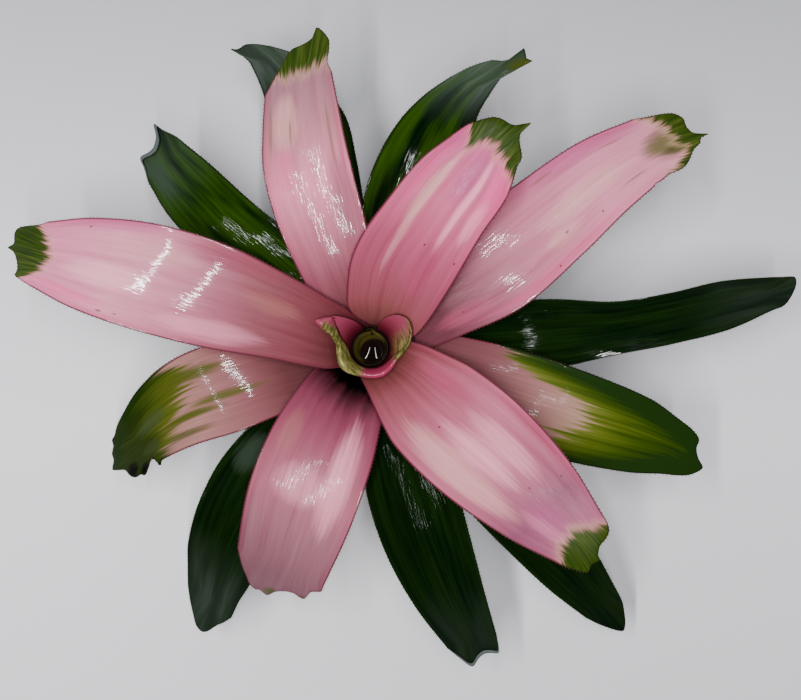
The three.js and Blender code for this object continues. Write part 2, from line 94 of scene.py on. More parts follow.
SPINE_RINGS = ((-0.35, 0, 1), (0.4, 0.2, 0.62))  # how far out and forwards, and how wide
SPINED_FROM = 26
TIP_WITHOUT_SPINES = 9
RIPPLE_LENGTHS = (23, 41)  # millimetres from crest to crest of a blade's slight unevenness
RIPPLE_HEIGHT = 0.05
RIPPLE_SKEW = 0.8
RIPPLES_FROM = 40
RIPPLES_GROW = 40

# Each leaf's place and slopes are the frame's. So are its edges, (distance, right, left), but for
# small changes in pink_leaf_1, green_leaf_5 and green_leaf_6. Its end is an outline of its own, from
# the right edge to the left one, as (distance, aside). A push moves the blade aside near a place in
# it: (distance, aside, spread, how far). A lip is how wide an end curls up.
LEAVES = [
    dict(
        name="pink_leaf_1", rank=2, azimuth=-45, start=38, finish=-8, bend=1.3, roll=0,
        edges=[
            (12.5, -18.3, 18.3), (16, -18.7, 18.3), (20, -19.2, 20.2), (24, -20.1, 22.2), (30, -22, 25),
            (40, -25.2, 28.5), (50, -27.3, 31.6), (80, -26, 34.5), (115, -19, 31.5), (145, -9, 24),
        ],
        neck_settles=4, reach=158.5, wave=0.4,
        end=[
            (149.2, -7.5), (153.6, -5.3), (159.6, -1.6), (158.3, 2.2), (159.6, 6.8), (157, 8.4),
            (154.2, 12.6), (153.8, 16.2), (152.1, 20.4), (149, 22.7),
        ],
    ),
    dict(
        name="pink_leaf_2", rank=3, azimuth=164.5, start=30, finish=-21, bend=0.8, roll=3,
        edges=[
            (15, -18, 18), (30, -20, 19), (50, -25, 19.6), (85, -31.9, 22.9), (123, -32.8, 23.6),
            (156, -27.4, 21.3), (180, -19.2, 16.4),
        ],
        reach=199, wave=0.4,
        end=[
            (185, -16.5), (195, -13), (198, -11), (199, -8), (198, -3), (200.8, 0), (197, 1.2),
            (193.5, 5), (191, 10), (191, 13), (187, 14.5),
        ],
    ),
    dict(
        name="pink_leaf_3", rank=4, azimuth=64, start=40, finish=-6, bend=1.1, roll=-3,
        edges=[
            (15, -19, 19), (30, -23, 26.5), (47, -24.5, 30.6), (80, -27.1, 24.1), (101, -30.2, 17.9),
            (117, -28, 9.3),
        ],
        reach=137, wave=0.4,
        end=[
            (122, -28), (129, -23.5), (133, -22), (136, -23), (140, -24.5), (138, -21), (136, -18),
            (135.5, -15), (136, -10), (135, -6), (132, -2), (126, 4),
        ],
    ),
    dict(
        name="pink_leaf_4", rank=5, azimuth=-114, start=26, finish=-45, bend=1.25, roll=2,
        edges=[(18, -19, 19), (35, -26, 22), (59, -29.9, 26.8), (90, -29, 29.6), (125, -21.5, 29.5)],
        reach=141, wave=0.5,
        end=[
            (135, -16), (142, -11), (145.9, -8.3), (148.5, -4), (147.8, -2), (149.3, 3.2), (144.9, 6.6),
            (142, 10.5), (139.6, 16), (139.2, 22.4), (132.6, 24.7), (129.8, 28.1), (128.5, 29.6),
        ],
    ),
    dict(
        name="pink_leaf_5", rank=6, azimuth=110, start=18, finish=-15, bend=0.7, roll=-2,
        edges=[
            (18, -18, 18), (45, -19.5, 21), (80, -22.7, 23.5), (107, -25.7, 20.9), (128, -28.9, 13.9),
            (145, -31.6, 6.8),
        ],
        reach=170, wave=0.5,
        end=[
            (151, -31.2), (157, -34.5), (162, -36), (171, -32.3), (167, -28), (166, -22), (166, -16),
            (164, -12.5), (157, -5),
        ],
    ),
    dict(
        name="pink_leaf_6", rank=7, azimuth=34, start=14, finish=-6, bend=0.6, roll=2,
        edges=[
            (20, -17, 18), (45, -22, 22), (80, -27.7, 26.5), (122, -22.3, 28.5), (154, -16.2, 28.2),
            (184, -12.6, 22.6),
        ],
        reach=214, wave=0.5,
        end=[
            (192, -14), (197, -12.5), (203, -9), (208, -8), (210, -6), (214.5, -6.5), (210, -3),
            (208, -1), (207, 3), (208, 8), (205, 13), (200, 16), (190, 20),
        ],
        pushes=[(175.5, -14.4, 1.7, 1.1)],
    ),
    dict(
        name="streaked_leaf_1", rank=8, azimuth=-18, start=12, finish=-20, bend=1.1, roll=0,
        edges=[
            (22, -18, 18), (45, -21, 21), (75, -25, 23.6), (115, -25, 23.5), (151, -20.7, 20.6),
            (171, -15.8, 14.9),
        ],
        reach=190, wave=0.5,
        end=[(180, -14), (187, -11.5), (193, -6), (189, -2), (186, 3), (185.5, 8), (180, 11.8)],
    ),
    dict(
        name="streaked_leaf_2", rank=9, azimuth=-160, start=14, finish=-50, bend=1.6, roll=4,
        edges=[
            (24, -20, 18), (50, -25, 17), (80, -31, 18), (105, -29.5, 16.8), (125, -21.5, 18.5),
            (140, -11.5, 21.5),
        ],
        reach=157, wave=0.8,
        end=[
            (146, -7.5), (151, -2.8), (153.8, -1), (154.4, 2), (157.4, 6), (157.4, 9.5), (159.8, 14.5),
            (155, 16), (150.5, 17.2), (147.5, 20.8), (143.5, 22.8),
        ],
        pushes=[(130.6, 20, 2.3, -4.4), (127, 19.5, 1.1, 4.4), (137.6, 21.5, 2.2, 2.4)],
    ),
    dict(
        name="green_leaf_1", rank=10, azimuth=70, start=5, finish=-14, bend=1.2, roll=-8,
        edges=[
            (24, -18, 18), (50, -18, 25), (77, -17, 30.8), (100, -14.5, 31), (121, -12.5, 26.8),
            (139, -12, 18.8), (153, -14.5, 9.2),
        ],
        reach=179, wave=0.8,
        end=[
            (158.5, -16), (164.6, -17.7), (167.5, -18.5), (168.4, -20.5), (168.2, -24.5),
            (171.2, -26.2), (172.8, -29.6), (173.6, -26.2), (175.3, -25.1), (179, -23), (175.4, -20.9),
            (172.6, -18.6), (170.4, -14.2), (169.8, -8.8), (163, 0.5),
        ],
    ),
    dict(
        name="green_leaf_2", rank=11, azimuth=-74, start=7, finish=-32, bend=1.2, roll=0,
        edges=[
            (25, -18, 18), (50, -20, 21), (80, -23.5, 24), (110, -22, 24), (140, -15.7, 23.4),
            (170, -5, 23.3),
        ],
        reach=188, wave=0.8,
        end=[(178, 0), (185.4, 5.6), (181.6, 10), (179.6, 14), (180, 18), (180.8, 21.5), (178, 22.5)],
        lip=3,
    ),
    dict(
        name="green_leaf_3", rank=12, azimuth=138, start=5, finish=-22, bend=1.2, roll=4,
        edges=[(26, -18, 18), (60, -18, 20), (100, -16, 22), (130, -16.2, 19.5), (150, -15.3, 14)],
        reach=170, wave=1.4,
        end=[
            (156, -14.8), (164, -12.6), (169.3, -12), (163.4, -7.5), (160.5, -2), (160.8, 1.5),
            (162.4, 6.8), (157, 9.6),
        ],
        lip=3.8,
    ),
    dict(
        name="green_leaf_4", rank=13, azimuth=5, start=4, finish=-22, bend=1.2, roll=0,
        edges=[
            (27, -18, 18), (60, -20, 19.5), (100, -19.5, 17.7), (135, -15, 13.6), (165, -12.2, 15.6),
            (195, -7.5, 19.8), (225, 1.5, 19.8),
        ],
        reach=240, wave=2,
        end=[(232, 3.5), (238, 9), (241, 15), (240, 19), (232, 19.5)],
    ),
    dict(
        name="green_leaf_5", rank=14, azimuth=-126, start=-2, finish=-36, bend=1.2, roll=0,
        edges=[
            (28, -19, 18), (60, -26, 18), (95, -30, 19), (120, -27, 20.5), (145, -18.8, 23),
            (157, -12, 23.7), (168, -5, 25.6),
        ],
        reach=189, wave=1.6,
        end=[
            (176, 1), (182.9, 6.8), (188, 12), (189, 16.6), (186.5, 19.2), (181.6, 20.8), (178.4, 21.8),
            (173.5, 24),
        ],
    ),
    dict(
        name="green_leaf_6", rank=15, azimuth=106, start=-3, finish=-26, bend=1.2, roll=0,
        edges=[
            (29, -18, 18), (60, -17, 18), (100, -21.2, 19), (125, -22, 18.5), (150, -13.3, 18.3),
            (161, -8, 19.3), (172, -1.5, 21.2),
        ],
        reach=184, wave=1,
        end=[
            (177.9, 5.3), (181.5, 11), (183.3, 15.8), (183.8, 20.8), (180.8, 26), (180.4, 29.4),
            (178.4, 25.7), (174.5, 22.6),
        ],
    ),
    dict(
        name="green_leaf_7", rank=16, azimuth=-48, start=-5, finish=-28, bend=1.2, roll=0,
        edges=[(30, -18, 18), (60, -20, 20), (110, -19.5, 20), (160, -17, 18.4), (195, -12, 11.5)],
        reach=217, wave=1.2,
        end=[(204, -9), (212, -5.5), (216, -3.5), (218.5, -1), (215, 3), (210, 6), (203, 9.5)],
    ),
]

# ---- The heart's sizes (as in the frame, but finer) ----

TUBE_SEAM_AZIMUTH = 98
TUBE_OVERLAP = 18
TUBE_LAP_TURN = 40
TUBE_LAP_STEP = 1.15
TUBE_TIP_RISE = 2.2
TUBE_TIP_TURN = 24
TUBE_TIP_POWER = 6  # how late the tip's rise comes
TUBE_COLUMNS = 150
TUBE_ROWS = 40
TUBE_HALF_THICKNESS = 0.3
WATER_TOP_Z = 60.5
WATER_FOOT_Z = 46
WATER_GAP = 0.1
WATER_CREST = (1.5, -2.6)  # the top falls away slightly round this place
WATER_FALL = 0.02
WATER_SKEW = 0.0025
WATER_DEEP = (1.9, -2.9, 60)  # painted shade: the water is near black round this place, and the tube shows beyond it
WATER_TOP_WITHIN = 0.01  # points this near to the top are on it
WATER_WALL_ROWS = 8
WATER_TOP_ROWS = 40
WATER_SIDES = 96
HEART_RANK = 1
HEART_FOOT_AZIMUTHS = (112, 432)
HEART_RIM = [
    (112, 12, 12), (128, 19.5, 19.5), (138, 25, 25), (144, 27.8, 23.4), (149, 30, 20.5),
    (154, 31.5, 18.6), (163, 22, 16), (177, 18, 12.4), (212, 18.7, 11.2), (252, 16, 11),
    (295, 16.5, 11.4), (333, 16, 12.6), (349, 17.6, 15), (369, 22, 20), (395, 24.6, 24.6),
    (408, 23, 23), (420, 18.6, 18.6), (432, 12, 12),
]
HEART_ROLL_RISE = 1.6
HEART_ROLL_FULL = 3
HEART_ROLL_CLEARANCE = 0.8
HEART_MARGIN_Z = 72.6
HEART_PLAIN_MARGIN = 1.2
HEART_ROLL = [(0, 0, 0, 0), (1, -0.05, 0.75, 0), (2, 0.28, 1.3, 0), (3, 0.65, 0.62, 0.38), (4, 1, 0, 1)]
HEART_COLUMNS = 200
HEART_SHEATH_ROWS = 6
HEART_ROLL_ROWS = 18
HEART_FLARE_ROWS = 16
HEART_HALF_THICKNESS = 0.3

# ---- The studio's sizes and lights ----

CAMERA_PLACE = (16.6, -1.1, 900)  # straight above, a little to the right of the heart
SENSOR = 36
PICTURE_WIDTH = 801  # pixels of the photo
FOCAL_LENGTH = 1500  # in the same pixels
FLOOR_HALF = 3  # metres, as are the next two
FLOOR_SHADED_OVER = 0.45
FLOOR_SIDES = (-0.25, 0.25)  # between these the floor's colour darkens a little to the right, as painted shade
FLOOR_SIDE_PAINTED_SHADE = (1.1, 0.95)
FLOOR_PAINTED_SHADING = [  # down the picture: painted shade, darkest at the top
    (0, (0.41, 0.41, 0.435)), (0.35, (0.6, 0.6, 0.63)), (0.6, (0.7, 0.7, 0.73)),
    (1, (0.61, 0.61, 0.635)),
]
STRIP_LAMPS = (  # names, x, y and length in metres, and watts
    ("strip_lamp_left", -0.5, -0.12, 1.3, 42),
    ("strip_lamp_right", 0.15, -0.12, 1.2, 30),
)
STRIP_HEIGHT = 2  # metres
STRIP_WIDTH = 0.05
ROOM_SIDES_FROM = (-0.2, 1)  # the room's light grows between these shares of the way to +Y
ROOM_SIDES = (0.16, 0.98)  # from this strength to this one
ROOM = (  # sine of the height over the horizon, and colour
    (0, (1.1, 1.12, 1.18)), (0.5, (1.1, 1.12, 1.18)), (0.8, (0.4, 0.41, 0.44)),
    (1, (0.03, 0.03, 0.035)),
)

# ---- The colours ----

REACH_SCALE = 250  # millimetres that a colour ramp along a leaf spans
SEED_STEP = 7  # from one leaf's streaks to the next leaf's
STREAK_SPREAD = 60  # how far the start of a streaked leaf's green swings along its veins
LEAF_RELIEF = (  # length and width of streaks, their seed and detail, and their height
    (26, 7, 7, 1, 0.08), (12, 1.3, 3, 1, 0.08), (4.5, 1.1, 11, 0, 0.04),
)

# Tints that the pink's own colour is multiplied by
PALER = (1.4, 1.5, 1.5)
GREYER = (1.35, 1.5, 1.4)
DUSKIER = (0.75, 0.55, 0.62)
ROSIER = (0.8, 0.42, 0.62)
DEEPER = (0.97, 0.58, 0.82)

# Where the blade's colour has begun to turn into the sheath's, and where it has turned
SHEATH_COLOUR_HEIGHTS = (66, 40)
SHEATH_COLOUR_DISTANCES = (60, 40)
SHEATH_COLOURS = [(0.35, (0.16, 0.18, 0.06)), (0.6, (0.3, 0.28, 0.14)), (0.8, (0.13, 0.04, 0.03))]
PINK_UNDERSIDE = (0.3, 0.16, 0.15)
PINK_SPINE = (0.1, 0.03, 0.02)
STREAKED_UNDERSIDE = (0.12, 0.12, 0.06)
STREAKED_SPINE = (0.05, 0.02, 0.01)
GREEN_UNDERSIDE = (0.05, 0.075, 0.05)
GREEN_SPINE = (0.01, 0.02, 0.004)
ROSE_LINE = (0.1, 0.016, 0.032)
GREEN_LINE = (0.006, 0.012, 0.003)
TIP_HALO = (0.56, 0.34, 0.2)
TIP_LINE = (0.012, 0.014, 0.002)
LIP_GREY = (0.075, 0.09, 0.085)
TIP_GREENS = [
    (0.3, (0.01, 0.026, 0.003)), (0.48, (0.022, 0.042, 0.003)), (0.64, (0.045, 0.066, 0.008)),
    (0.85, (0.13, 0.14, 0.035)),
]
DARK_GREEN = (0.0005, 0.003, 0.0006)
MID_GREEN = (0.002, 0.009, 0.002)
LEAF_GREEN = (0.022, 0.058, 0.0015)
# A grey bloom on the drooping ends, partly a painted sheen of the room's light.
BLOOM_AND_SHEEN = (0.062, 0.08, 0.066)
PALE = (0.86, 0.35, 0.43)
WHITE_PINK = (0.84, 0.42, 0.45)
CREAM = (0.62, 0.34, 0.3)
TAN = (0.32, 0.13, 0.11)
OLIVE_FLECK = (0.2, 0.12, 0.07)
HOT_PINK = (0.72, 0.11, 0.28)
VIOLET = (0.45, 0.1, 0.22)
ROSE = (0.36, 0.075, 0.13)
DEEP_ROSE = (0.26, 0.05, 0.08)
DOT = (0.16, 0.03, 0.02)
# Used for real black spots on one blade's end, and as painted shade at another blade's base.
BLACK = (0.001, 0.0003, 0.0003)
OLIVE_BAND = (0.055, 0.065, 0.007)
# The heart's crimson darkens to near black deep in the funnel: partly its own colour, partly painted
# shade.
HEART_CRIMSONS = [(0, (0.03, 0.002, 0.006)), (0.4, (0.12, 0.01, 0.022)), (1, (0.27, 0.042, 0.085))]
HEART_OLIVES = [(0.35, (0.05, 0.06, 0.008)), (0.55, (0.17, 0.16, 0.045)), (0.7, (0.33, 0.26, 0.1))]
HEART_FOLD = (0.27, 0.025, 0.07)
# Degrees round the heart where a colour begins, is full, is no longer full and ends
HEART_FOLD_TURN = (238, 262, 322, 350)
HEART_FLAP_TURN = (335, 350, 366, 402)
HEART_LEFT_BAND_TURN = (146, 153, 240, 262)
HEART_RIGHT_BAND_TURN = (322, 350, 388, 408)
HEART_EDGE = (0.03, 0.006, 0.005)
TUBE_OLIVES = [(0.3, (0.1, 0.085, 0.012)), (0.7, (0.2, 0.16, 0.03))]
TUBE_SHADE = (0.02, 0.012, 0.005)
TUBE_EDGE = (0.006, 0.006, 0.002)
WATER_COLOURS = ((0.005, 0.002, 0.002), (0.035, 0.03, 0.005))  # painted shade of the deep water, and the water near the tube
STEM_BROWNS = [(0.3, (0.05, 0.028, 0.012)), (0.6, (0.2, 0.12, 0.06)), (0.8, (0.34, 0.24, 0.13))]

# For each pink leaf: its colours at distances along it, which darken towards the heart partly
# as painted shade; patches of (colour, strength, place along, half length, place across, half
# width); the tip's green lengths from the right edge (0) to the left one (1), its fingers' length
# and the half width; and gloss, the coat's weight along it.
PINK_LOOKS = {
    "pink_leaf_1": dict(
        stops=[
            (18, (0.12, 0.04, 0.03)), (36, (0.28, 0.08, 0.1)), (50, (0.38, 0.12, 0.155)),
            (75, (0.45, 0.16, 0.21)), (100, (0.37, 0.13, 0.175)), (122, (0.222, 0.077, 0.12)),
            (145, (0.33, 0.115, 0.172)),
        ],
        patches=[
            (ROSE, 0.7, 44, 20, 16, 9), (CREAM, 0.9, 80, 42, -18, 10), (WHITE_PINK, 0.6, 80, 30, -3, 9),
            (WHITE_PINK, 0.5, 86, 28, 10, 8), (CREAM, 0.5, 62, 20, -14, 6),
            ((0.3, 0.075, 0.155), 0.9, 127, 17, -5, 15), (ROSE, 0.6, 100, 40, 28, 5),
            (PALE, 0.2, 130, 20, -12, 6),
        ],
        tip=([(0, 11), (0.2, 18), (0.5, 19), (0.8, 13), (1, 9)], 4, 31),
        gloss=[(0, 0.2), (60, 0.1), (95, 0.04), (125, 0), (150, 0)],
        dots=[(56, -6), (116, 21), (109, 2)], margin=0.4, deepen=0.5,
    ),
    "pink_leaf_2": dict(
        stops=[
            (20, (0.1, 0.026, 0.026)), (40, (0.18, 0.05, 0.06)), (62, (0.23, 0.078, 0.09)),
            (85, (0.34, 0.115, 0.15)), (110, (0.51, 0.19, 0.245)), (140, (0.66, 0.275, 0.345)),
            (180, (0.62, 0.2, 0.315)),
        ],
        patches=[
            (CREAM, 0.4, 118, 26, -14, 7), (WHITE_PINK, 0.7, 146, 28, 4, 8), (TAN, 0.6, 56, 20, -6, 8),
            (VIOLET, 0.7, 144, 34, -26, 6), (DEEP_ROSE, 0.6, 82, 32, -23, 8),
            (HOT_PINK, 0.6, 162, 26, 21, 5), (OLIVE_FLECK, 0.9, 141, 2.4, 24.5, 0.8),
            (OLIVE_FLECK, 0.8, 132.5, 1.6, 23.6, 0.6), (PALE, 0.5, 84, 34, 19, 8),
        ],
        tip=([(0, 8), (0.2, 19), (0.35, 21), (0.5, 24), (0.75, 21), (0.9, 8), (1, 2)], 5, 28.6),
        gloss=[(0, 0.4), (100, 0.6)],
        dots=[(157, -23)],
    ),
    "pink_leaf_3": dict(
        stops=[
            (22, (0.2, 0.07, 0.06)), (40, (0.3, 0.08, 0.11)), (60, (0.42, 0.1, 0.16)),
            (85, (0.56, 0.15, 0.24)), (115, (0.52, 0.105, 0.225)),
        ],
        patches=[
            (VIOLET, 0.9, 104, 24, -3, 7), (HOT_PINK, 0.8, 104, 26, -21, 8),
            (PALE, 0.8, 88, 34, -10, 3), (PALE, 0.6, 82, 16, -20, 4), (ROSE, 0.8, 50, 18, -9, 9),
            (CREAM, 1, 88, 30, 12, 4.2), (CREAM, 0.5, 60, 22, 10, 2.6),
            (HOT_PINK, 0.6, 92, 26, 21, 3.5),
        ],
        tip=(
            [(0, 28), (0.15, 23), (0.35, 17), (0.5, 14), (0.6, 17), (0.72, 24), (0.84, 10), (1, 0)],
            5, 27.5,
        ),
        gloss=[(0, 0.2), (80, 0.12), (100, 0.04), (112, 0.01)],
        dots=[(62, -4), (61, -23)], deepen=0.5,
    ),
    "pink_leaf_4": dict(
        stops=[
            # The black at 24 mm is painted shade of the deep gap where this blade's base drops into the
            # heart.
            (24, BLACK), (31, (0.06, 0.01, 0.018)), (40, (0.17, 0.036, 0.06)), (56, (0.25, 0.065, 0.1)),
            (72, (0.31, 0.095, 0.13)), (86, (0.34, 0.115, 0.15)), (105, (0.27, 0.115, 0.14)),
            (135, (0.175, 0.08, 0.095)),
        ],
        patches=[
            # The PALE patch round 82 mm, with the brighter stops round 72 to 86 mm above, is a painted
            # sheen where the blade levels out.
            (TAN, 0.5, 60, 16, -20, 7), (PALE, 0.38, 82, 14, -4, 18), (PALE, 0.6, 72, 36, 15, 10),
            ((0.06, 0.075, 0.02), 1, 146, 4, 0.5, 5.5), ((0.07, 0.07, 0.02), 0.9, 139, 2, 16.5, 3),
        ],
        gloss=[(0, 0.22), (100, 0.25), (130, 0.06)],
        deepen=0.25,
    ),
    "pink_leaf_5": dict(
        stops=[
            (22, (0.13, 0.042, 0.046)), (45, (0.24, 0.075, 0.097)), (68, (0.43, 0.142, 0.185)),
            (92, (0.68, 0.235, 0.32)), (122, (0.41, 0.18, 0.2)), (150, (0.27, 0.14, 0.16)),
        ],
        patches=[
            (CREAM, 0.7, 128, 18, 10, 10), (OLIVE_FLECK, 0.6, 126, 15, 18.6, 1.3),
            (OLIVE_FLECK, 0.7, 123, 10, 7, 0.9), (OLIVE_FLECK, 0.6, 115, 24, -16, 1.3),
            (HOT_PINK, 0.4, 105, 14, 12, 8), ((0.27, 0.095, 0.125), 0.8, 76, 36, -16, 9),
        ],
        tip=([(0, 20), (0.3, 18), (0.5, 19), (0.7, 17), (0.9, 16), (1, 10)], 5, 23.7),
        gloss=[(0, 0.4), (130, 0.42), (150, 0.08)],
    ),
    "pink_leaf_6": dict(
        stops=[
            # The dark stops up to 42 mm are partly this blade's deeper base colour and partly painted
            # shade near the heart.
            (22, (0.12, 0.038, 0.048)), (42, (0.11, 0.036, 0.044)), (62, (0.22, 0.072, 0.093)),
            (85, (0.38, 0.135, 0.175)), (110, (0.46, 0.158, 0.215)), (150, (0.6, 0.235, 0.31)),
            (195, (0.52, 0.22, 0.275)),
        ],
        patches=[
            (CREAM, 0.7, 142, 36, -1, 9), (CREAM, 0.6, 120, 16, -12, 5), (VIOLET, 0.8, 148, 52, 23, 8),
            (OLIVE_FLECK, 0.7, 126, 9, 21.8, 1.1), (OLIVE_FLECK, 0.7, 168, 11, -13, 1),
            (OLIVE_FLECK, 0.5, 167, 9, 17.3, 0.7), (OLIVE_FLECK, 0.9, 122, 1.6, -11.6, 0.9),
            (ROSE, 0.6, 56, 22, -16, 8), (HOT_PINK, 0.4, 110, 60, -23, 4),
            ((0.12, 0.11, 0.045), 1, 192, 17, -2, 15), ((0.05, 0.06, 0.014), 0.9, 198, 12, -9, 5),
        ],
        tip=([(0, 30), (0.15, 24), (0.26, 14), (0.45, 16), (0.62, 17), (0.8, 22), (1, 28)], 5, 27.2),
        gloss=[(0, 0), (76, 0), (83, 0.4), (92, 0.4), (100, 0.02), (250, 0.03)],
        dots=[(53, -14), (109, -23.5), (144, -17)],
    ),
}

GREEN_LOOKS = {
    "green_leaf_1": dict(
        light=0.85, bloom_and_sheen=0.9, gloss=[(0, 0.3), (70, 0.5), (104, 0.5), (118, 0.04)],
        patches=[((0.04, 0.05, 0.006), 1, 170.5, 7, -7.5, 6)],
    ),
    "green_leaf_2": dict(light=0.1, bloom_and_sheen=0.15, gloss=[(0, 0.02), (60, 0.03), (100, 0.03), (115, 0.01)]),
    "green_leaf_3": dict(
        light=0.75, bloom_and_sheen=0.3, gloss=[(0, 0.06), (60, 0.12), (115, 0.12), (130, 0.02)],
        # The grey-teal patch near the end is grey bloom, partly a painted sheen.
        patches=[((0.03, 0.046, 0.032), 0.8, 150, 20, 12, 9)],
    ),
    "green_leaf_4": dict(
        light=0.12, bloom_and_sheen=0.2,
        gloss=[(0, 0), (84, 0), (90, 0.08), (104, 0.12), (112, 0.4), (165, 0.35), (180, 0.02)],
    ),
    "green_leaf_5": dict(
        light=0.1, bloom_and_sheen=0.4, gloss=[(0, 0.3), (110, 0.3), (130, 0.05)],
        # The grey patch at 84 mm is a painted sheen.
        patches=[((0.03, 0.045, 0.03), 0.7, 84, 16, -14, 9)],
    ),
    "green_leaf_6": dict(light=0.3, bloom_and_sheen=0.8, gloss=[(0, 0.04), (250, 0.04)]),
    "green_leaf_7": dict(light=0.1, bloom_and_sheen=0.05, gloss=[(0, 0.04), (250, 0.04)]),
}

# For each streaked leaf, too, the colours along it darken towards the heart partly as painted shade.
STREAKED_LOOKS = {
    "streaked_leaf_1": dict(
        starts=[(0, 92), (0.12, 98), (0.3, 110), (0.5, 124), (0.68, 114), (0.82, 80), (1, 60)],
        half_width=25,
        stops=[
            (24, (0.08, 0.026, 0.03)), (45, (0.115, 0.036, 0.044)), (65, (0.15, 0.05, 0.06)),
            (95, (0.25, 0.11, 0.105)), (120, (0.3, 0.175, 0.13)),
        ],
        greens=[
            (0, (0.11, 0.12, 0.02)), (15, (0.062, 0.084, 0.006)), (36, (0.025, 0.046, 0.003)),
            (60, (0.008, 0.023, 0.003)),
        ],
        gloss=[(0, 0.06), (250, 0.03)],
    ),
    "streaked_leaf_2": dict(
        starts=[
            (0, 108), (0.12, 100), (0.25, 94), (0.4, 100), (0.55, 106), (0.7, 112), (0.85, 116),
            (1, 120),
        ],
        half_width=24.5,
        stops=[
            (24, (0.06, 0.018, 0.02)), (48, (0.095, 0.028, 0.031)), (70, (0.2, 0.068, 0.078)),
            (100, (0.28, 0.13, 0.12)), (130, (0.22, 0.12, 0.09)),
        ],
        greens=[
            (0, (0.075, 0.085, 0.011)), (15, (0.05, 0.064, 0.006)), (32, (0.026, 0.042, 0.005)),
            (50, (0.009, 0.022, 0.002)),
        ],
        gloss=[(0, 0.35), (78, 0.35), (90, 0.02), (110, 0.01)],
        patches=[
            ((0.065, 0.07, 0.009), 0.9, 82, 28, 3.4, 3.2), (OLIVE_BAND, 0.95, 98, 28, -13, 5),
            (OLIVE_BAND, 0.95, 106, 28, 8, 3), ((0.045, 0.055, 0.009), 0.8, 108, 20, 17, 2.6),
            ((0.014, 0.024, 0.004), 0.9, 140, 22, 10, 17), ((0.038, 0.052, 0.022), 0.6, 126, 13, -2, 6),
            ((0.012, 0.022, 0.003), 0.7, 138, 14, -13, 8), ((0.03, 0.042, 0.014), 0.7, 130, 8, 13, 5),
            (BLACK, 1, 145.2, 5.5, 17.6, 6), (BLACK, 1, 135.5, 5.5, 23.5, 5.5),
            (BLACK, 1, 152.5, 2, -11, 2), (BLACK, 1, 158, 2, 0, 2),
        ],
    ),
}


# ---- Small helpers ----

def mix(a, b, share):
    return a + (b - a) * share


def ease(x):
    x = np.clip(x, 0, 1)
    return x * x * (3 - 2 * x)


def along(points, x, column):
    """The smooth curve through points (x, y1, y2, ...), at x, for one of the y columns."""
    last = len(points) - 1
    i = 0
    while i < last - 1 and x > points[i + 1][0]:
        i += 1

    def slope(j):
        a, b = points[max(j - 1, 0)], points[min(j + 1, last)]
        return (b[column] - a[column]) / (b[0] - a[0])

    step = points[i + 1][0] - points[i][0]
    t = (x - points[i][0]) / step
    if t < 0:
        return points[i][column]
    if t > 1:
        return points[last][column] + slope(last) * (x - points[last][0])
    h = 3 * t * t - 2 * t**3
    bend = slope(i) * (t**3 - 2 * t * t + t) + slope(i + 1) * (t**3 - t * t)
    return mix(points[i][column], points[i + 1][column], h) + step * bend


# ---- The nested funnels that the sheaths lie on ----

flare_start = TUBE_RADIUS - (TUBE_RIM_Z - FLARE_Z) / math.tan(LEAN)
flare_centre = (flare_start + FLARE_RADIUS * math.sin(LEAN), FLARE_Z - FLARE_RADIUS * math.cos(LEAN))
bulge_centre = (flare_start - BULGE_RADIUS * math.sin(LEAN), FLARE_Z + BULGE_RADIUS * math.cos(LEAN))


def on_flare(rank, slope):
    """Distance from the axis, height and slope where a rank's flare has that slope."""
    radius = FLARE_RADIUS - SHEATH_PITCH * rank
    return flare_centre[0] - radius * math.sin(slope), flare_centre[1] + radius * math.cos(slope), slope


def on_sheath(rank, z):
    """The same for a rank's sheath at height z, below its flare."""
    radius = BULGE_RADIUS + SHEATH_PITCH * rank
    slope = math.acos((bulge_centre[1] - z) / radius)
    return bulge_centre[0] + radius * math.sin(slope), z, slope


def tube_radius(z):
    if z < FLARE_Z:
        return on_sheath(0, z)[0]
    return TUBE_RADIUS - (TUBE_RIM_Z - z) / math.tan(LEAN)


def seat_height(rank):
    return mix(STEM_TOP_Z, OLDEST_SEAT_Z, rank / OLDEST_RANK)


# ---- Meshes ----

def add_object(name, data):
    thing = bpy.data.objects.new(name, data)
    bpy.context.scene.collection.objects.link(thing)
    return thing


def finish_piece(node, mesh, material):
    """Makes the object that stands for a frame node."""
    piece = add_object("dressed_" + node, mesh)
    mesh.materials.append(material)
    mesh.polygons.foreach_set("use_smooth", [True] * len(mesh.polygons))
    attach(piece, "root")
    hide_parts(node)


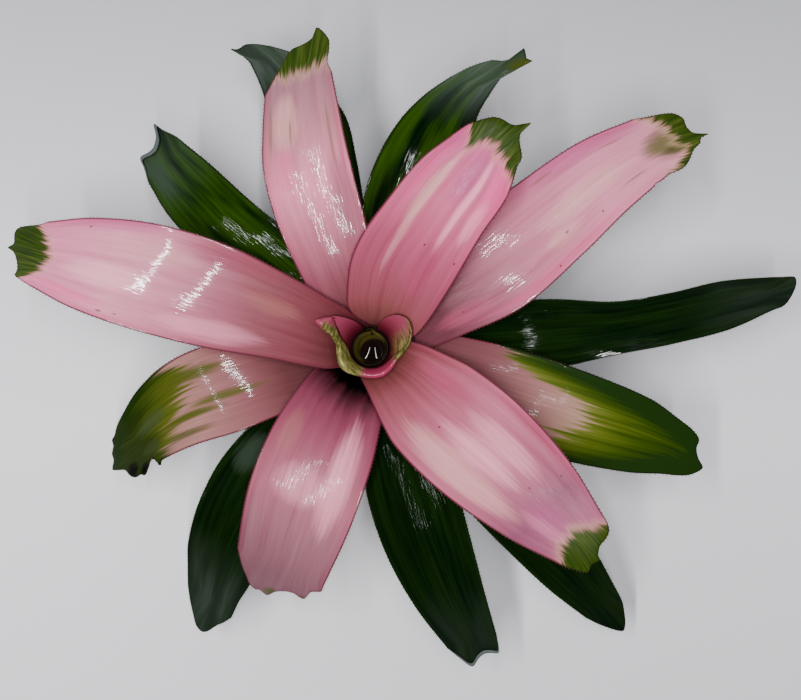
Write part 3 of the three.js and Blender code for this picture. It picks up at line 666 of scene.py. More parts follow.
def sheet_mesh(name, grid, values, half_thickness, extra=None):
    """A grid of points (rows, columns, 3) given thickness, closed round its edges.

    values are named numbers for each grid point, which its material reads. extra is
    (points, faces, values) of more closed bits, such as spines."""
    rows, columns = grid.shape[:2]
    normals = np.cross(np.gradient(grid, axis=0), np.gradient(grid, axis=1))
    normals[:, 0], normals[:, -1] = normals[:, 1], normals[:, -2]
    normals /= np.maximum(np.linalg.norm(normals, axis=2, keepdims=True), TINY)
    offset = normals * np.broadcast_to(half_thickness, (rows, columns))[..., None]
    points = np.concatenate([(grid + offset).reshape(-1, 3), (grid - offset).reshape(-1, 3)])
    index = np.arange(rows * columns).reshape(rows, columns)
    a, b, c, d = index[:-1, :-1], index[1:, :-1], index[1:, 1:], index[:-1, 1:]
    under = rows * columns
    top = np.stack([a, b, c, d], axis=-1).reshape(-1, 4)
    bottom = np.stack([a, d, c, b], axis=-1).reshape(-1, 4) + under
    walls = []
    for edge in (index[:, 0], index[::-1, -1], index[0, ::-1], index[-1]):
        walls.append(np.stack([edge[:-1], edge[:-1] + under, edge[1:] + under, edge[1:]], axis=-1))
    faces = [tuple(f) for f in np.concatenate([top, bottom, *walls]).tolist()]
    numbers = {key: np.concatenate([v.ravel(), v.ravel()]) for key, v in values.items()}
    numbers["under"] = np.concatenate([np.zeros(under), np.ones(under)])
    if extra is not None:
        more_points, more_faces, more_numbers = extra
        start = len(points)
        points = np.concatenate([points, more_points])
        faces += [tuple(start + n for n in f) for f in more_faces]
        for key in numbers:
            numbers[key] = np.concatenate([numbers[key], more_numbers[key]])
    mesh = bpy.data.meshes.new(name)
    mesh.from_pydata((points * MM).tolist(), [], faces)
    for key, column in numbers.items():
        attribute = mesh.attributes.new(key, "FLOAT", "POINT")
        attribute.data.foreach_set("value", column.astype(np.float32))
    mesh.validate()
    return mesh


# ---- A strap leaf ----

def blade_profile(leaf):
    """A function that gives the blade's height and slope at a distance from the axis."""
    start_r, start_z, start = on_flare(leaf["rank"], math.radians(leaf["start"]))
    start_rise = math.tan(start)
    finish_rise = math.tan(math.radians(leaf["finish"]))
    length = leaf["reach"] - start_r
    bend = leaf["bend"]

    def at(r):
        share = np.maximum((r - start_r) / length, 0)
        climbed = start_rise * share + (finish_rise - start_rise) * share ** (bend + 1) / (bend + 1)
        return start_z + climbed * length, np.arctan(mix(start_rise, finish_rise, share**bend))

    return start_r, at


def leaf_stations(leaf, blade_start):
    """Rows of (distance, height, slope, right edge, left edge) up to the end's outline.

    Heights and slopes of the blade's own rows are left at zero."""
    rank, edges = leaf["rank"], leaf["edges"]
    start = math.radians(leaf["start"])
    neck_r, neck_z, _ = on_flare(rank, LEAN)
    neck_half = min((edges[0][2] - edges[0][1]) / 2 + NECK_EXTRA, MOST_WRAP * neck_r)
    stations = []
    for i in range(SHEATH_ROWS):
        share = i / SHEATH_ROWS
        r, z, slope = on_sheath(rank, mix(seat_height(rank), neck_z, share))
        half = mix(min(SHEATH_HALF_WIDTH, MOST_WRAP * r), neck_half, share)
        stations.append((r, z, slope, -half, half))
    flare_rows = math.ceil((LEAN - start) / FLARE_STEP)
    for i in range(flare_rows):
        r, z, slope = on_flare(rank, mix(LEAN, start, i / flare_rows))
        settled = float(ease((r - edges[0][0]) / leaf.get("neck_settles", NECK_SETTLES)))
        right = mix(-neck_half, along(edges, r, 1), settled)
        left = mix(neck_half, along(edges, r, 2), settled)
        stations.append((r, z, slope, right, left))
    for i in range(BLADE_ROWS + 1):
        r = mix(blade_start, edges[-1][0], i / BLADE_ROWS)
        stations.append((r, 0, 0, along(edges, r, 1), along(edges, r, 2)))
    return np.array(stations)


def end_outline(leaf):
    """The outline of the leaf's end, from its right edge to its left one, and where its points lie.

    The first result is a function of -1 ... 1."""
    r, right, left = leaf["edges"][-1]
    points = [(r, right), *leaf["end"], (r, left)]
    lengths = np.linalg.norm(np.diff(points, axis=0), axis=1)
    travelled = np.concatenate([[0], np.cumsum(lengths)])
    travelled = travelled / travelled[-1] * 2 - 1
    curve = [(t, *p) for t, p in zip(travelled, points)]

    def at(v):
        return np.array([[along(curve, t, 1), along(curve, t, 2)] for t in v])

    return at, travelled


def leaf_plan(leaf):
    """Where the leaf's grid points lie before the blade is curved across.

    Gives the named numbers that the material reads (distance and height of the middle line among
    them), and each point's place aside, place across (-1 ... 1), half width and slope."""
    blade_start, profile = blade_profile(leaf)
    stations = leaf_stations(leaf, blade_start)
    outline, corners = end_outline(leaf)
    steps = np.linspace(-1, 1, COLUMNS + 1)
    even = (steps + np.sin(steps * math.pi / 2)) / 2
    clear = np.min(np.abs(even[:, None] - corners), axis=1) > CLOSEST_COLUMNS
    v = np.sort(np.concatenate([even[clear], corners]))
    r, z, slope, right, left = (stations[:, k, None] + 0 * v for k in range(5))
    half = (left - right) / 2
    middle = (left + right) / 2
    aside = middle + half * v
    rim = half * (1 - np.abs(v))
    end = outline(v)
    q = np.sin(np.arange(1, CAP_ROWS + 1) / CAP_ROWS * math.pi / 2)[:, None]
    cap_r = mix(r[-1], end[:, 0], q)
    cap_rim = np.minimum(rim[-1], (1 - q) * np.hypot(*(end.T - (r[-1], aside[-1]))))
    rim = np.concatenate([rim, cap_rim])
    r = np.concatenate([r, cap_r])
    aside = np.concatenate([aside, mix(aside[-1], end[:, 1], q)])
    half, middle = (np.concatenate([side, side[-1] + 0 * cap_r]) for side in (half, middle))
    blade = len(stations) - BLADE_ROWS - 1
    blade_z, blade_slope = profile(r[blade:])
    z = np.concatenate([z[:blade], blade_z])
    slope = np.concatenate([slope[:blade], blade_slope])
    values = {
        "away": r,
        "across": half.max() * v + 0 * r,
        "rim": rim,
        "height": z,
        "spine": 0 * r,
        "curl": 0 * r,
    }
    return values, aside, (aside - middle) / half, half, slope


def leaf_grid(leaf, draw):
    """The points of the leaf's middle surface, and the named numbers that its material reads."""
    values, aside, v, half, slope = leaf_plan(leaf)
    r, z = values["away"], values["height"]
    share = np.clip((r - WRAP_END) / (leaf["reach"] - WRAP_END), 0, 1)
    grown = ease((r - WAVES_FROM) / WAVES_GROW)
    waves = leaf["wave"] * np.sin(r * WAVE_TURN + leaf["rank"] + 2 * v) * v**2 * grown
    lift = CHANNEL * half * v**2
    x = r - lift * np.sin(slope)
    y = aside
    height = z + lift * np.cos(slope) + waves + aside * np.tan(math.radians(leaf["roll"]) * share)
    grown = ease((r - RIPPLES_FROM) / RIPPLES_GROW)
    for length in RIPPLE_LENGTHS:
        turn = 2 * math.pi / length
        phase, skew = draw.uniform(0, 2 * math.pi), draw.uniform(-RIPPLE_SKEW, RIPPLE_SKEW)
        height = height + RIPPLE_HEIGHT * np.sin(turn * (x + skew * aside) + phase) * grown
    for place_r, place_aside, spread, push in leaf.get("pushes", []):
        near = np.exp(-((r - place_r) ** 2 + (aside - place_aside) ** 2) / spread**2)
        y = y + push * near
    free = np.stack([x, y, height], axis=-1)
    turn = aside / r
    wrapped = np.stack([r * np.cos(turn), r * np.sin(turn), z], axis=-1)
    freed = ease((r - WRAP_START) / (WRAP_END - WRAP_START))[..., None]
    x, y, height = np.moveaxis(mix(wrapped, free, freed), -1, 0)
    azimuth = math.radians(leaf["azimuth"])
    c, s = math.cos(azimuth), math.sin(azimuth)
    return np.stack([c * x - s * y, s * x + c * y, height], axis=-1), values


def margin_row(sheet, side, inwards=0):
    """The sheet's row along a margin (side 1 or -1), up its length and over half of its end."""
    turned = sheet[:, ::side]
    half_end = sheet.shape[1] // 2
    return np.concatenate([turned[:, inwards], turned[-1 - inwards, 1:half_end]])


def spine_points(root, forwards, outwards, length):
    """A spine's points: a ring round its root, a ring in its middle, and its end."""
    normal = np.cross(forwards, outwards)
    points = []
    for out, forth, size in SPINE_RINGS:
        centre = root + (outwards * out + forwards * forth) * length
        for ahead, over in ((-1, 0), (0, -SPINE_FLATNESS), (1, 0), (0, SPINE_FLATNESS)):
            points.append(centre + (forwards * ahead + normal * over) * SPINE_HALF_BASE * size)
    return [*points, root + outwards * length + forwards * length * SPINE_SWEEP]


def leaf_spines(grid, values, draw):
    """Small forward-pointing spines along both margins."""
    points, faces = [], []
    numbers = {key: [] for key in (*values, "under")}
    begin = int(np.argmax(values["away"][:, 0] > SPINED_FROM))
    for side in (1, -1):
        line, inner = (margin_row(grid[begin:], side, inwards) for inwards in (0, 1))
        readings = {key: margin_row(v[begin:], side) for key, v in values.items()}
        steps = np.linalg.norm(np.diff(line, axis=0), axis=1)
        travelled = np.concatenate([[0], np.cumsum(steps)])
        place = 0
        while place < travelled[-1] - TIP_WITHOUT_SPINES:
            i = int(np.searchsorted(travelled, place, side="right")) - 1
            share = (place - travelled[i]) / steps[i]
            root = mix(line[i], line[i + 1], share)
            forwards = (line[i + 1] - line[i]) / steps[i]
            outwards = root - mix(inner[i], inner[i + 1], share)
            outwards = outwards - forwards * outwards.dot(forwards)
            outwards = outwards / max(np.linalg.norm(outwards), TINY)
            start = len(points)
            points += spine_points(root, forwards, outwards, draw.uniform(*SPINE_LENGTHS))
            for k in range(4):
                n = (k + 1) % 4
                faces.append((start + k, start + n, start + 4 + n, start + 4 + k))
                faces.append((start + 4 + k, start + 4 + n, start + 8))
            faces.append((start + 3, start + 2, start + 1, start))
            here = {key: reading[i] for key, reading in readings.items()} | {"spine": 1, "under": 0}
            for key, column in numbers.items():
                column += [here[key]] * (len(points) - start)
            place += SPINE_PITCH * draw.uniform(*SPINE_PITCHES)
    return np.array(points), faces, {key: np.array(column) for key, column in numbers.items()}


def curl_end(grid, values, width, azimuth):
    """More rows that curl the leaf's end up and back."""
    outwards = np.array([math.cos(azimuth), math.sin(azimuth), 0])
    across = values["across"][-1]
    radius = width / 2 * (1 - (across / across.max()) ** 2)[:, None]
    rows = []
    for i in range(1, LIP_ROWS + 1):
        turn = LIP_TURN * i / LIP_ROWS
        rows.append(grid[-1] + radius * (outwards * math.sin(turn) + (0, 0, 1 - math.cos(turn))))
    longer = {key: np.concatenate([v, np.repeat(v[-1:], LIP_ROWS, axis=0)]) for key, v in values.items()}
    longer["curl"][-LIP_ROWS:] = 1
    return np.concatenate([grid, np.array(rows)]), longer


def make_leaf(leaf, material):
    draw = random.Random(leaf["rank"])
    grid, values = leaf_grid(leaf, draw)
    spines = leaf_spines(grid, values, draw)
    if "lip" in leaf:
        grid, values = curl_end(grid, values, leaf["lip"], math.radians(leaf["azimuth"]))
    thickens = ease((values["away"] - THICKENS_FROM) / THICKENS_OVER)
    body = mix(SHEATH_THICKNESS, BLADE_THICKNESS, thickens) / 2
    inside = np.sqrt(np.clip(values["rim"] / RIM_ROUNDING, 0, 1))
    half_thickness = mix(MARGIN_HALF_THICKNESS, body, inside)
    mesh = sheet_mesh(leaf["name"], grid, values, half_thickness, spines)
    finish_piece(leaf["name"], mesh, material)


# ---- The heart ----

def tube_grid():
    """The youngest leaf, rolled into a tube that laps over itself."""
    turned = 360 + TUBE_OVERLAP
    angles = np.linspace(0, turned, TUBE_COLUMNS + 1)
    grid = np.zeros((TUBE_ROWS + 1, TUBE_COLUMNS + 1, 3))
    values = {"depth": np.zeros(grid.shape[:2]), "turn": np.zeros(grid.shape[:2])}
    for i in range(TUBE_ROWS + 1):
        share = i / TUBE_ROWS
        for j, angle in enumerate(angles):
            lapped = float(ease((angle - turned + TUBE_LAP_TURN) / (TUBE_LAP_TURN - TUBE_OVERLAP)))
            tip = TUBE_TIP_RISE * max(1 - angle / TUBE_TIP_TURN, 0) * share**TUBE_TIP_POWER
            z = mix(STEM_TOP_Z, TUBE_RIM_Z, share) + tip
            r = tube_radius(z) + TUBE_LAP_STEP * lapped
            azimuth = math.radians(TUBE_SEAM_AZIMUTH - TUBE_OVERLAP / 2 + angle)
            grid[i, j] = r * math.cos(azimuth), r * math.sin(azimuth), z
            values["depth"][i, j] = TUBE_RIM_Z - z
            values["turn"][i, j] = math.radians(angle)
    return grid, values


def heart_grid():
    """The next leaf: a funnel round the tube, with two flaps and a margin rolled inwards."""
    foot = on_sheath(HEART_RANK, seat_height(HEART_RANK))
    neck = on_flare(HEART_RANK, LEAN)
    radius = FLARE_RADIUS - SHEATH_PITCH * HEART_RANK
    columns, azimuths = [], []
    for j in range(HEART_COLUMNS + 1):
        azimuth = mix(*HEART_FOOT_AZIMUTHS, j / HEART_COLUMNS)
        fold = along(HEART_RIM, azimuth, 1)
        width = max(fold - along(HEART_RIM, azimuth, 2), 0)
        top = on_flare(HEART_RANK, math.asin((flare_centre[0] - fold) / radius))
        profile = []
        for i in range(HEART_SHEATH_ROWS):
            z = mix(foot[1], neck[1], i / HEART_SHEATH_ROWS)
            profile.append(on_sheath(HEART_RANK, z)[:2])
        for i in range(HEART_FLARE_ROWS + 1):
            profile.append(on_flare(HEART_RANK, mix(LEAN, top[2], i / HEART_FLARE_ROWS))[:2])
        rolled = float(ease(width / HEART_ROLL_FULL))
        margin_turn = math.asin((flare_centre[0] - fold + width) / radius)
        margin_floor = on_flare(HEART_RANK, margin_turn)[1] + HEART_ROLL_CLEARANCE
        fall = min(width, top[1] - max(HEART_MARGIN_Z, margin_floor))
        for i in range(1, HEART_ROLL_ROWS + 1):
            place = HEART_ROLL[-1][0] * i / HEART_ROLL_ROWS
            inwards, up, down = (along(HEART_ROLL, place, k) for k in (1, 2, 3))
            straight = HEART_PLAIN_MARGIN * i / HEART_ROLL_ROWS
            r = fold + mix(straight, -width * inwards, rolled)
            z = top[1] + mix(straight, HEART_ROLL_RISE * up - fall * down, rolled)
            profile.append((r, z))
        columns.append(profile)
        azimuths.append(azimuth)
    profile = np.array(columns).transpose(1, 0, 2)
    turn = np.radians(azimuths)[None, :]
    r, z = profile[..., 0], profile[..., 1]
    grid = np.stack([r * np.cos(turn), r * np.sin(turn), z], axis=-1)
    rows = len(profile)
    roll = np.clip((np.arange(rows) - (rows - 1 - HEART_ROLL_ROWS)) / HEART_ROLL_ROWS, 0, 1)
    values = {
        "roll": roll[:, None] + 0 * r,
        "azimuth": np.array(azimuths) + 0 * r,
        "away": r,
        "height": z,
    }
    return grid, values


def lathe_mesh(name, profile, sides):
    """A solid of revolution from a profile of (distance, height) that starts and ends on the axis."""
    points, faces = [], []
    inner = profile[1:-1]
    for r, z in inner:
        for k in range(sides):
            turn = 2 * math.pi * k / sides
            points.append((r * math.cos(turn) * MM, r * math.sin(turn) * MM, z * MM))
    for i in range(len(inner) - 1):
        for k in range(sides):
            n = (k + 1) % sides
            faces.append((i * sides + k, i * sides + n, (i + 1) * sides + n, (i + 1) * sides + k))
    foot, top = len(points), len(points) + 1
    points += [(0, 0, profile[0][1] * MM), (0, 0, profile[-1][1] * MM)]
    last = (len(inner) - 1) * sides
    for k in range(sides):
        n = (k + 1) % sides
        faces.append((foot, n, k))
        faces.append((top, last + k, last + n))
    mesh = bpy.data.meshes.new(name)
    mesh.from_pydata(points, [], faces)
    return mesh


def water_mesh():
    """The water that the tube holds. Its top falls away a little round its crest."""
    profile = [(0, WATER_FOOT_Z)]
    for i in range(WATER_WALL_ROWS + 1):
        z = mix(WATER_FOOT_Z, WATER_TOP_Z, i / WATER_WALL_ROWS)
        profile.append((tube_radius(z) - TUBE_HALF_THICKNESS - WATER_GAP, z))
    wall = profile[-1][0]
    profile += [(wall * (1 - i / WATER_TOP_ROWS), WATER_TOP_Z) for i in range(1, WATER_TOP_ROWS + 1)]
    mesh = lathe_mesh("tank_water", profile, WATER_SIDES)
    for vertex in mesh.vertices:
        if vertex.co.z > (WATER_TOP_Z - WATER_TOP_WITHIN) * MM:
            x = vertex.co.x / MM - WATER_CREST[0]
            y = vertex.co.y / MM - WATER_CREST[1]
            vertex.co.z -= (WATER_FALL * (x * x + y * y) + WATER_SKEW * x * x * y) * MM
    return mesh


# ---- Materials ----

class Graph:
    """The nodes of a material or of the world."""

    def __init__(self, tree):
        self.tree = tree

    def node(self, kind, **settings):
        node = self.tree.nodes.new(kind)
        for key, value in settings.items():
            setattr(node, key, value)
        return node

    def put(self, socket, value):
        """Links another node's output to a socket, or sets the socket's own value."""
        if isinstance(value, bpy.types.NodeSocket):
            self.tree.links.new(value, socket)
        elif socket.type == "RGBA":
            socket.default_value = (*value, 1)
        else:
            socket.default_value = value

    def feed(self, node, *values):
        """Puts values into a node's first inputs and gives its first output."""
        for socket, value in zip(node.inputs, values):
            self.put(socket, value)
        return node.outputs[0]

    def number(self, name):
        """What the mesh says under that name."""
        return self.node("ShaderNodeAttribute", attribute_name=name).outputs["Fac"]

    def place(self, kind="Object"):
        return self.node("ShaderNodeTexCoord").outputs[kind]

    def split(self, vector):
        node = self.node("ShaderNodeSeparateXYZ")
        self.put(node.inputs[0], vector)
        return tuple(node.outputs)

    def vector(self, x, y, z):
        return self.feed(self.node("ShaderNodeCombineXYZ"), x, y, z)

    def math(self, operation, *values):
        return self.feed(self.node("ShaderNodeMath", operation=operation), *values)

    def plus(self, a, b):
        return self.math("ADD", a, b)

    def less(self, a, b):
        return self.math("SUBTRACT", a, b)

    def line(self, value, rise, base):
        """value * rise + base"""
        return self.math("MULTIPLY_ADD", value, rise, base)

    def times(self, *values):
        product = values[0]
        for value in values[1:]:
            product = self.math("MULTIPLY", product, value)
        return product

    def between(self, value, low, high, to_low=0, to_high=1, kind="SMOOTHSTEP"):
        """value's way from low to high, clamped. low may lie above high."""
        limits = (low, high, to_low, to_high)
        if low > high:
            limits = (high, low, to_high, to_low)
        return self.feed(self.node("ShaderNodeMapRange", interpolation_type=kind), value, *limits)

    def window(self, value, opens, full, closes, shut):
        """1 from full to closes, and 0 below opens and above shut."""
        return self.times(self.between(value, opens, full), self.between(value, shut, closes))

    def ramp(self, value, stops, span=1):
        """Colours or plain numbers at places (place, colour) from 0 to span."""
        node = self.node("ShaderNodeValToRGB")
        elements = node.color_ramp.elements
        while len(elements) < len(stops):
            elements.new(0.5)
        for element, (place, colour) in zip(elements, stops):
            element.position = place / span
            element.color = (*(colour if isinstance(colour, tuple) else (colour,) * 3), 1)
        return self.feed(node, value if span == 1 else self.times(value, 1 / span))

    def mix(self, share, a, b, blend="MIX"):
        node = self.node("ShaderNodeMix", data_type="RGBA", blend_type=blend)
        for socket, value in ((0, share), (6, a), (7, b)):
            self.put(node.inputs[socket], value)
        return node.outputs[2]

    def noise(self, vector, detail=2, roughness=0.5, scale=1):
        node = self.node("ShaderNodeTexNoise")
        settings = {"Vector": vector, "Scale": scale, "Detail": detail, "Roughness": roughness}
        for key, value in settings.items():
            self.put(node.inputs[key], value)
        return node.outputs["Fac"]

    def bump(self, height, distance, strength=1, normal=None):
        node = self.node("ShaderNodeBump")
        for key, value in (("Strength", strength), ("Distance", distance), ("Height", height)):
            self.put(node.inputs[key], value)
        if normal is not None:
            self.put(node.inputs["Normal"], normal)
        return node.outputs["Normal"]


class Look(Graph):
    """A material with one Principled shader, whose colour is laid on in layers."""

    def __init__(
        self, name, seed=0, roughness=0.35, coat=0, coat_roughness=0.1, ior=1.45, specular=0.15,
    ):
        self.material = bpy.data.materials.new(name)
        self.material.use_nodes = True
        super().__init__(self.material.node_tree)
        self.tree.nodes.clear()
        self.seed = seed
        self.colour = None
        self.shader = self.node("ShaderNodeBsdfPrincipled")
        output = self.node("ShaderNodeOutputMaterial")
        self.put(output.inputs["Surface"], self.shader.outputs["BSDF"])
        self.set("Roughness", roughness)
        self.set("Coat Weight", coat)
        self.set("Coat Roughness", coat_roughness)
        self.set("IOR", ior)
        self.set("Specular IOR Level", specular)

    def set(self, key, value):
        self.put(self.shader.inputs[key], value)

    def lay(self, share, tint, blend="MIX"):
        """Lays a tint over the colour so far, fully where share is 1."""
        self.colour = self.mix(share, self.colour, tint, blend)

    def finish(self, normal=None):
        self.set("Base Color", self.colour)
        if normal is not None:
            self.set("Normal", normal)
        return self.material

    def streaks(self, length, width, seed, detail=2, roughness=0.5):
        """Noise drawn out along the leaf, with features that long and wide in millimetres."""
        away = self.times(self.number("away"), 1 / length)
        across = self.times(self.number("across"), 1 / width)
        return self.noise(self.vector(away, across, self.seed + seed), detail, roughness)

    def swings(self, *size, **shape):
        """Streaks that swing about zero."""
        return self.less(self.streaks(*size, **shape), 0.5)

    def along(self, stops, sway=12, seed=0):
        """Colours or numbers at millimetres from the axis, with changes ragged along the veins."""
        drift = self.streaks(45, 5, seed, detail=3)
        away = self.plus(self.number("away"), self.line(drift, sway, -sway / 2))
        return self.ramp(away, stops, REACH_SCALE)

    def over_width(self, half_width, points):
        """A number that changes over the leaf's width, from its right edge (0) to its left (1)."""
        place = self.line(self.number("across"), 0.5 / half_width, 0.5)
        most = max(number for _, number in points)
        return self.times(self.ramp(place, [(x, number / most) for x, number in points]), most)

    def patch(self, away, length, across, width, seed, rag=0.9):
        """1 in a soft-ended patch of the leaf and 0 outside it, ragged along the veins."""
        x = self.math("DIVIDE", self.less(self.number("away"), away), length)
        y = self.math("DIVIDE", self.less(self.number("across"), across), width)
        apart = self.plus(self.times(x, x), self.times(y, y))
        grain = self.line(self.streaks(length * 0.8, 1.6, seed, detail=3), rag, 1 - rag / 2)
        return self.between(self.less(grain, apart), 0, 1)


# ---- The leaves' materials ----

def leaf_look(leaf, specular):
    seed = leaf["rank"] * SEED_STEP
    return Look(leaf["name"] + "_surface", seed, coat_roughness=0.07, specular=specular)


def add_patches(look, patches):
    """Lays on patches of (colour, strength, place along, half length, place across, half width)."""
    for n, (tint, strength, *shape) in enumerate(patches):
        look.lay(look.times(look.patch(*shape, 80 + n), strength), tint)


def finish_leaf(look, gloss, underside, spines, line):
    """What all leaves share: coat, sheath, underside, spines, margin line, roughness and relief.

    gloss is the coat's weight along the leaf, (millimetres, weight), broken up along the veins."""
    dashes = look.between(look.streaks(9, 0.9, 43, detail=1), 0.4, 0.56, 0.15, 1)
    look.set("Coat Weight", look.times(look.along(gloss, 20, 41), dashes))
    low = look.between(look.number("height"), *SHEATH_COLOUR_HEIGHTS)
    near = look.between(look.number("away"), *SHEATH_COLOUR_DISTANCES)
    look.lay(look.times(low, near), look.ramp(look.streaks(9, 1.4, 21, detail=3), SHEATH_COLOURS))
    look.lay(look.times(look.number("under"), 0.8), underside)
    look.lay(look.between(look.number("rim"), 0.95, 0.35, 0, 0.92), line)
    look.lay(look.number("curl"), LIP_GREY)
    look.lay(look.number("spine"), spines)
    rough = look.between(look.streaks(10, 1.2, 5), 0.3, 0.7, 0.26, 0.4)
    look.set("Roughness", look.line(look.number("under"), 0.2, rough))
    relief = None
    for length, width, seed, detail, height in LEAF_RELIEF:
        relief = look.bump(look.streaks(length, width, seed, detail), height * MM, normal=relief)
    look.set("Coat Normal", relief)
    return look.finish(relief)


def green_tip(look, reach, lengths, fingers, half_width):
    """Turns the end of a pink blade green, and gives its margin's colour.

    lengths are (place over the width from 0 to 1, how far the green reaches back). It ends in
    fingers that run back along the veins."""
    length = look.over_width(half_width, lengths)
    broad = look.times(look.swings(90, 4, 61, detail=1), 1.6 * fingers)
    narrow = look.times(look.swings(16, 0.8, 62, detail=4), 3 * fingers)
    left = look.less(reach, look.number("away"))
    inside = look.less(look.plus(length, look.plus(broad, narrow)), left)
    look.lay(look.between(inside, -6, 1, 0, 0.4), TIP_HALO)
    green = look.between(inside, -2, 3.5)
    pale = look.plus(look.streaks(22, 1.5, 71, detail=4), look.between(inside, 3, 16, 0.02, -0.05))
    look.lay(green, look.ramp(pale, TIP_GREENS))
    return look.mix(green, ROSE_LINE, TIP_LINE)


def pink_look(leaf, stops, patches, gloss, tip=None, dots=(), margin=0.45, deepen=0.35):
    """A pink blade: its colours along it, patches along the veins, dots and its green tip."""
    look = leaf_look(leaf, specular=0.08)
    look.colour = look.along(stops)
    add_patches(look, patches)
    wide = look.streaks(80, 4, 31, detail=3)
    look.lay(look.between(wide, 0.48, 0.75, 0, 0.3), PALER, "MULTIPLY")
    look.lay(look.between(wide, 0.5, 0.25, 0, 0.5), DUSKIER, "MULTIPLY")
    edge = look.plus(look.number("rim"), look.times(wide, 7))
    look.lay(look.between(edge, 9, 3, 0, margin), ROSIER, "MULTIPLY")
    look.lay(0.12, look.ramp(look.streaks(26, 0.7, 51, detail=3), [(0.3, 0.3), (0.7, 0.7)]), "OVERLAY")
    look.lay(deepen, DEEPER, "MULTIPLY")
    for away, across in dots:
        look.lay(look.patch(away, 0.9, across, 0.7, 0, 0.2), DOT)
    line = green_tip(look, leaf["reach"], *tip) if tip else ROSE_LINE
    return finish_leaf(look, gloss, PINK_UNDERSIDE, PINK_SPINE, line)


def green_look(leaf, light, bloom_and_sheen, gloss, patches=()):
    """A dark green blade with paler streaks, and a grey bloom towards its end that is partly a painted
    sheen.
    """
    look = leaf_look(leaf, specular=0)
    streak = look.streaks(60, 2.2, 0, detail=3)
    look.colour = look.ramp(streak, [(0.32, DARK_GREEN), (0.68, MID_GREEN)])
    cloud = look.between(look.streaks(60, 14, 9), 0.35, 0.6)
    look.lay(look.times(cloud, look.between(streak, 0.3, 0.7, 0.55, 1), light), LEAF_GREEN)
    far = look.between(look.times(look.number("away"), 1 / leaf["reach"]), 0.68, 0.92)
    veil = look.between(look.streaks(40, 9, 15), 0.35, 0.7, 0.4, 1)
    look.lay(look.times(far, veil, bloom_and_sheen), BLOOM_AND_SHEEN)
    add_patches(look, patches)
    return finish_leaf(look, gloss, GREEN_UNDERSIDE, GREEN_SPINE, GREEN_LINE)


def streaked_look(leaf, starts, half_width, stops, greens, gloss, patches=()):
    """A blade that is pink near the heart and green outwards.

    starts are (place over the width from 0 to 1, millimetres from the axis where green begins)."""
    look = leaf_look(leaf, specular=0.02)
    look.colour = look.along(stops)
    look.lay(look.between(look.streaks(60, 0.8, 5), 0.45, 0.75, 0, 0.5), GREYER, "MULTIPLY")
    bands = look.swings(120, 2.4, 1, detail=3, roughness=0.6)
    start = look.line(bands, -STREAK_SPREAD, look.over_width(half_width, starts))
    inside = look.less(look.number("away"), start)
    shade = look.line(look.swings(80, 2, 8, detail=4), 48, inside)
    shade = look.plus(shade, look.between(look.number("rim"), 9, 0, 0, 36))
    green = look.between(inside, -4, 7)
    look.lay(green, look.ramp(shade, greens, span=100))
    add_patches(look, patches)
    line = look.mix(green, ROSE_LINE, GREEN_LINE)
    return finish_leaf(look, gloss, STREAKED_UNDERSIDE, STREAKED_SPINE, line)


# ---- The other materials ----

def heart_look():
    """The funnel leaf: crimson inside, darkening to near black deep down, partly its own colour and
    partly painted shade, with two olive flaps whose margins roll inwards.
    """
    look = Look("heart_funnel_surface", coat=0.3, coat_roughness=0.15)
    azimuth, roll, away, height = map(look.number, ("azimuth", "roll", "away", "height"))
    mottle = look.noise(look.vector(look.times(azimuth, 0.06), look.times(height, 0.5), away), 3)
    olive = look.ramp(mottle, HEART_OLIVES)
    look.colour = look.ramp(look.between(height, 62, 90), HEART_CRIMSONS)
    fold = look.window(azimuth, *HEART_FOLD_TURN)
    look.lay(look.times(fold, look.between(height, 70, 78)), HEART_FOLD)
    flap = look.window(azimuth, *HEART_FLAP_TURN)
    look.lay(look.times(flap, look.between(height, 66, 82), 0.85), olive)
    left_band = look.window(azimuth, *HEART_LEFT_BAND_TURN)
    left_band = look.times(left_band, look.between(away, 29.5, 27))
    right_band = look.window(azimuth, *HEART_RIGHT_BAND_TURN)
    bands = look.math("MAXIMUM", left_band, right_band)
    look.lay(look.times(bands, look.between(roll, 0.02, 0.3)), olive)
    look.lay(look.between(roll, 0.88, 0.96), HEART_EDGE)
    return look.finish(look.bump(mottle, 0.3 * MM, 0.5))


def tube_look():
    """The rolled leaf: olive, with painted shade deeper down and on its lower right side, and a thin
    brown rim.
    """
    look = Look("heart_tube_surface", specular=0.05)
    depth, turn = look.number("depth"), look.number("turn")
    grain = look.noise(look.vector(look.times(turn, 6), look.times(depth, 0.12), 3), 3)
    look.colour = look.ramp(grain, TUBE_OLIVES)
    # Painted shade: darker deeper down the tube and on its lower right side.
    x, y, _ = look.split(look.place())
    right = look.between(look.less(x, y), -3 * MM, 7 * MM)
    look.lay(look.math("MAXIMUM", look.between(depth, 6, 14), right), TUBE_SHADE)
    look.lay(look.between(depth, 1.3, 0.6), TUBE_EDGE)
    return look.finish(look.bump(grain, 0.2 * MM, 0.5))


def water_look():
    """Water painted near black as shade of the deep tank, and a ring of it through which the tube shows.
    """
    look = Look("tank_water_surface", roughness=0.03, ior=1.33)
    node = look.node("ShaderNodeVectorMath", operation="DISTANCE")
    look.feed(node, look.place(), Vector(WATER_DEEP) * MM)
    look.colour = look.mix(look.between(node.outputs["Value"], 7.4 * MM, 9.4 * MM), *WATER_COLOURS)
    return look.finish()


def stem_look():
    """The short stem, fibrous and brown."""
    look = Look("stem_bark", roughness=0.8)
    fibres = look.noise(look.place(), 5, 0.6, scale=260)
    look.colour = look.ramp(fibres, STEM_BROWNS)
    return look.finish(look.bump(fibres, 1.2 * MM, 0.8))


# ---- The pieces ----

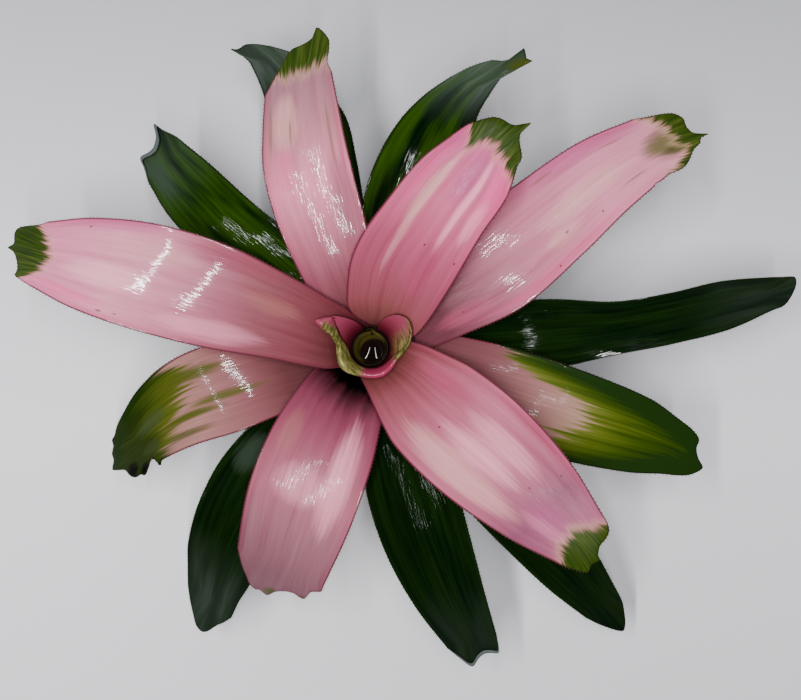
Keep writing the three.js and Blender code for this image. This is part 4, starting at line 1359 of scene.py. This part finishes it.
def make_plant():
    kinds = (
        ("pink_leaf", pink_look, PINK_LOOKS),
        ("streaked_leaf", streaked_look, STREAKED_LOOKS),
        ("green_leaf", green_look, GREEN_LOOKS),
    )
    for leaf in LEAVES:
        for slot, make_look, looks in kinds:
            if leaf["name"] in looks:
                make_leaf(leaf, make_look(leaf, **looks[leaf["name"]]))
    funnel = sheet_mesh("heart_funnel_leaf", *heart_grid(), HEART_HALF_THICKNESS)
    finish_piece("heart_funnel_leaf", funnel, heart_look())
    tube = sheet_mesh("heart_tube_leaf", *tube_grid(), TUBE_HALF_THICKNESS)
    finish_piece("heart_tube_leaf", tube, tube_look())
    finish_piece("tank_water", water_mesh(), water_look())
    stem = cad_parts["stem"]
    stem.data.materials.clear()
    stem.data.materials.append(stem_look())


# ---- The studio ----

def make_camera():
    data = bpy.data.cameras.new("camera")
    data.sensor_width = SENSOR
    data.lens = SENSOR * FOCAL_LENGTH / PICTURE_WIDTH
    camera = add_object("camera", data)
    camera.location = Vector(CAMERA_PLACE) * MM
    bpy.context.scene.camera = camera


def make_strip_lamp(name, x, y, length, watts):
    """A long lamp that faces straight down."""
    data = bpy.data.lights.new(name, "AREA")
    data.shape = "RECTANGLE"
    data.size, data.size_y = STRIP_WIDTH, length
    data.energy = watts
    add_object(name, data).location = x, y, STRIP_HEIGHT


def make_world():
    """A room that is dark overhead and pale towards its walls."""
    world = bpy.data.worlds.new("studio")
    world.use_nodes = True
    graph = Graph(world.node_tree)
    background = graph.tree.nodes["Background"]
    _, y, z = graph.split(graph.place("Generated"))
    graph.put(background.inputs["Color"], graph.ramp(z, ROOM))
    strength = graph.between(y, *ROOM_SIDES_FROM, *ROOM_SIDES, kind="LINEAR")
    graph.put(background.inputs["Strength"], strength)
    bpy.context.scene.world = world


def make_floor():
    look = Look("pale_floor", roughness=0.7)
    x, y, _ = look.split(look.place())
    # The floor's colour carries painted shade: darker towards the top of the picture and a little to the
    # right.
    down = look.line(y, -1 / FLOOR_SHADED_OVER, 0.5)
    across = look.between(x, *FLOOR_SIDES, *FLOOR_SIDE_PAINTED_SHADE)
    look.colour = look.ramp(down, FLOOR_PAINTED_SHADING)
    look.lay(1, look.vector(across, across, across), "MULTIPLY")
    mesh = bpy.data.meshes.new("floor")
    signs = ((-1, -1), (1, -1), (1, 1), (-1, 1))
    corners = [(FLOOR_HALF * a, FLOOR_HALF * b, 0) for a, b in signs]
    mesh.from_pydata(corners, [], [(0, 1, 2, 3)])
    mesh.materials.append(look.finish())
    add_object("floor", mesh)


make_plant()
make_camera()
make_world()
make_floor()
for strip in STRIP_LAMPS:
    make_strip_lamp(*strip)
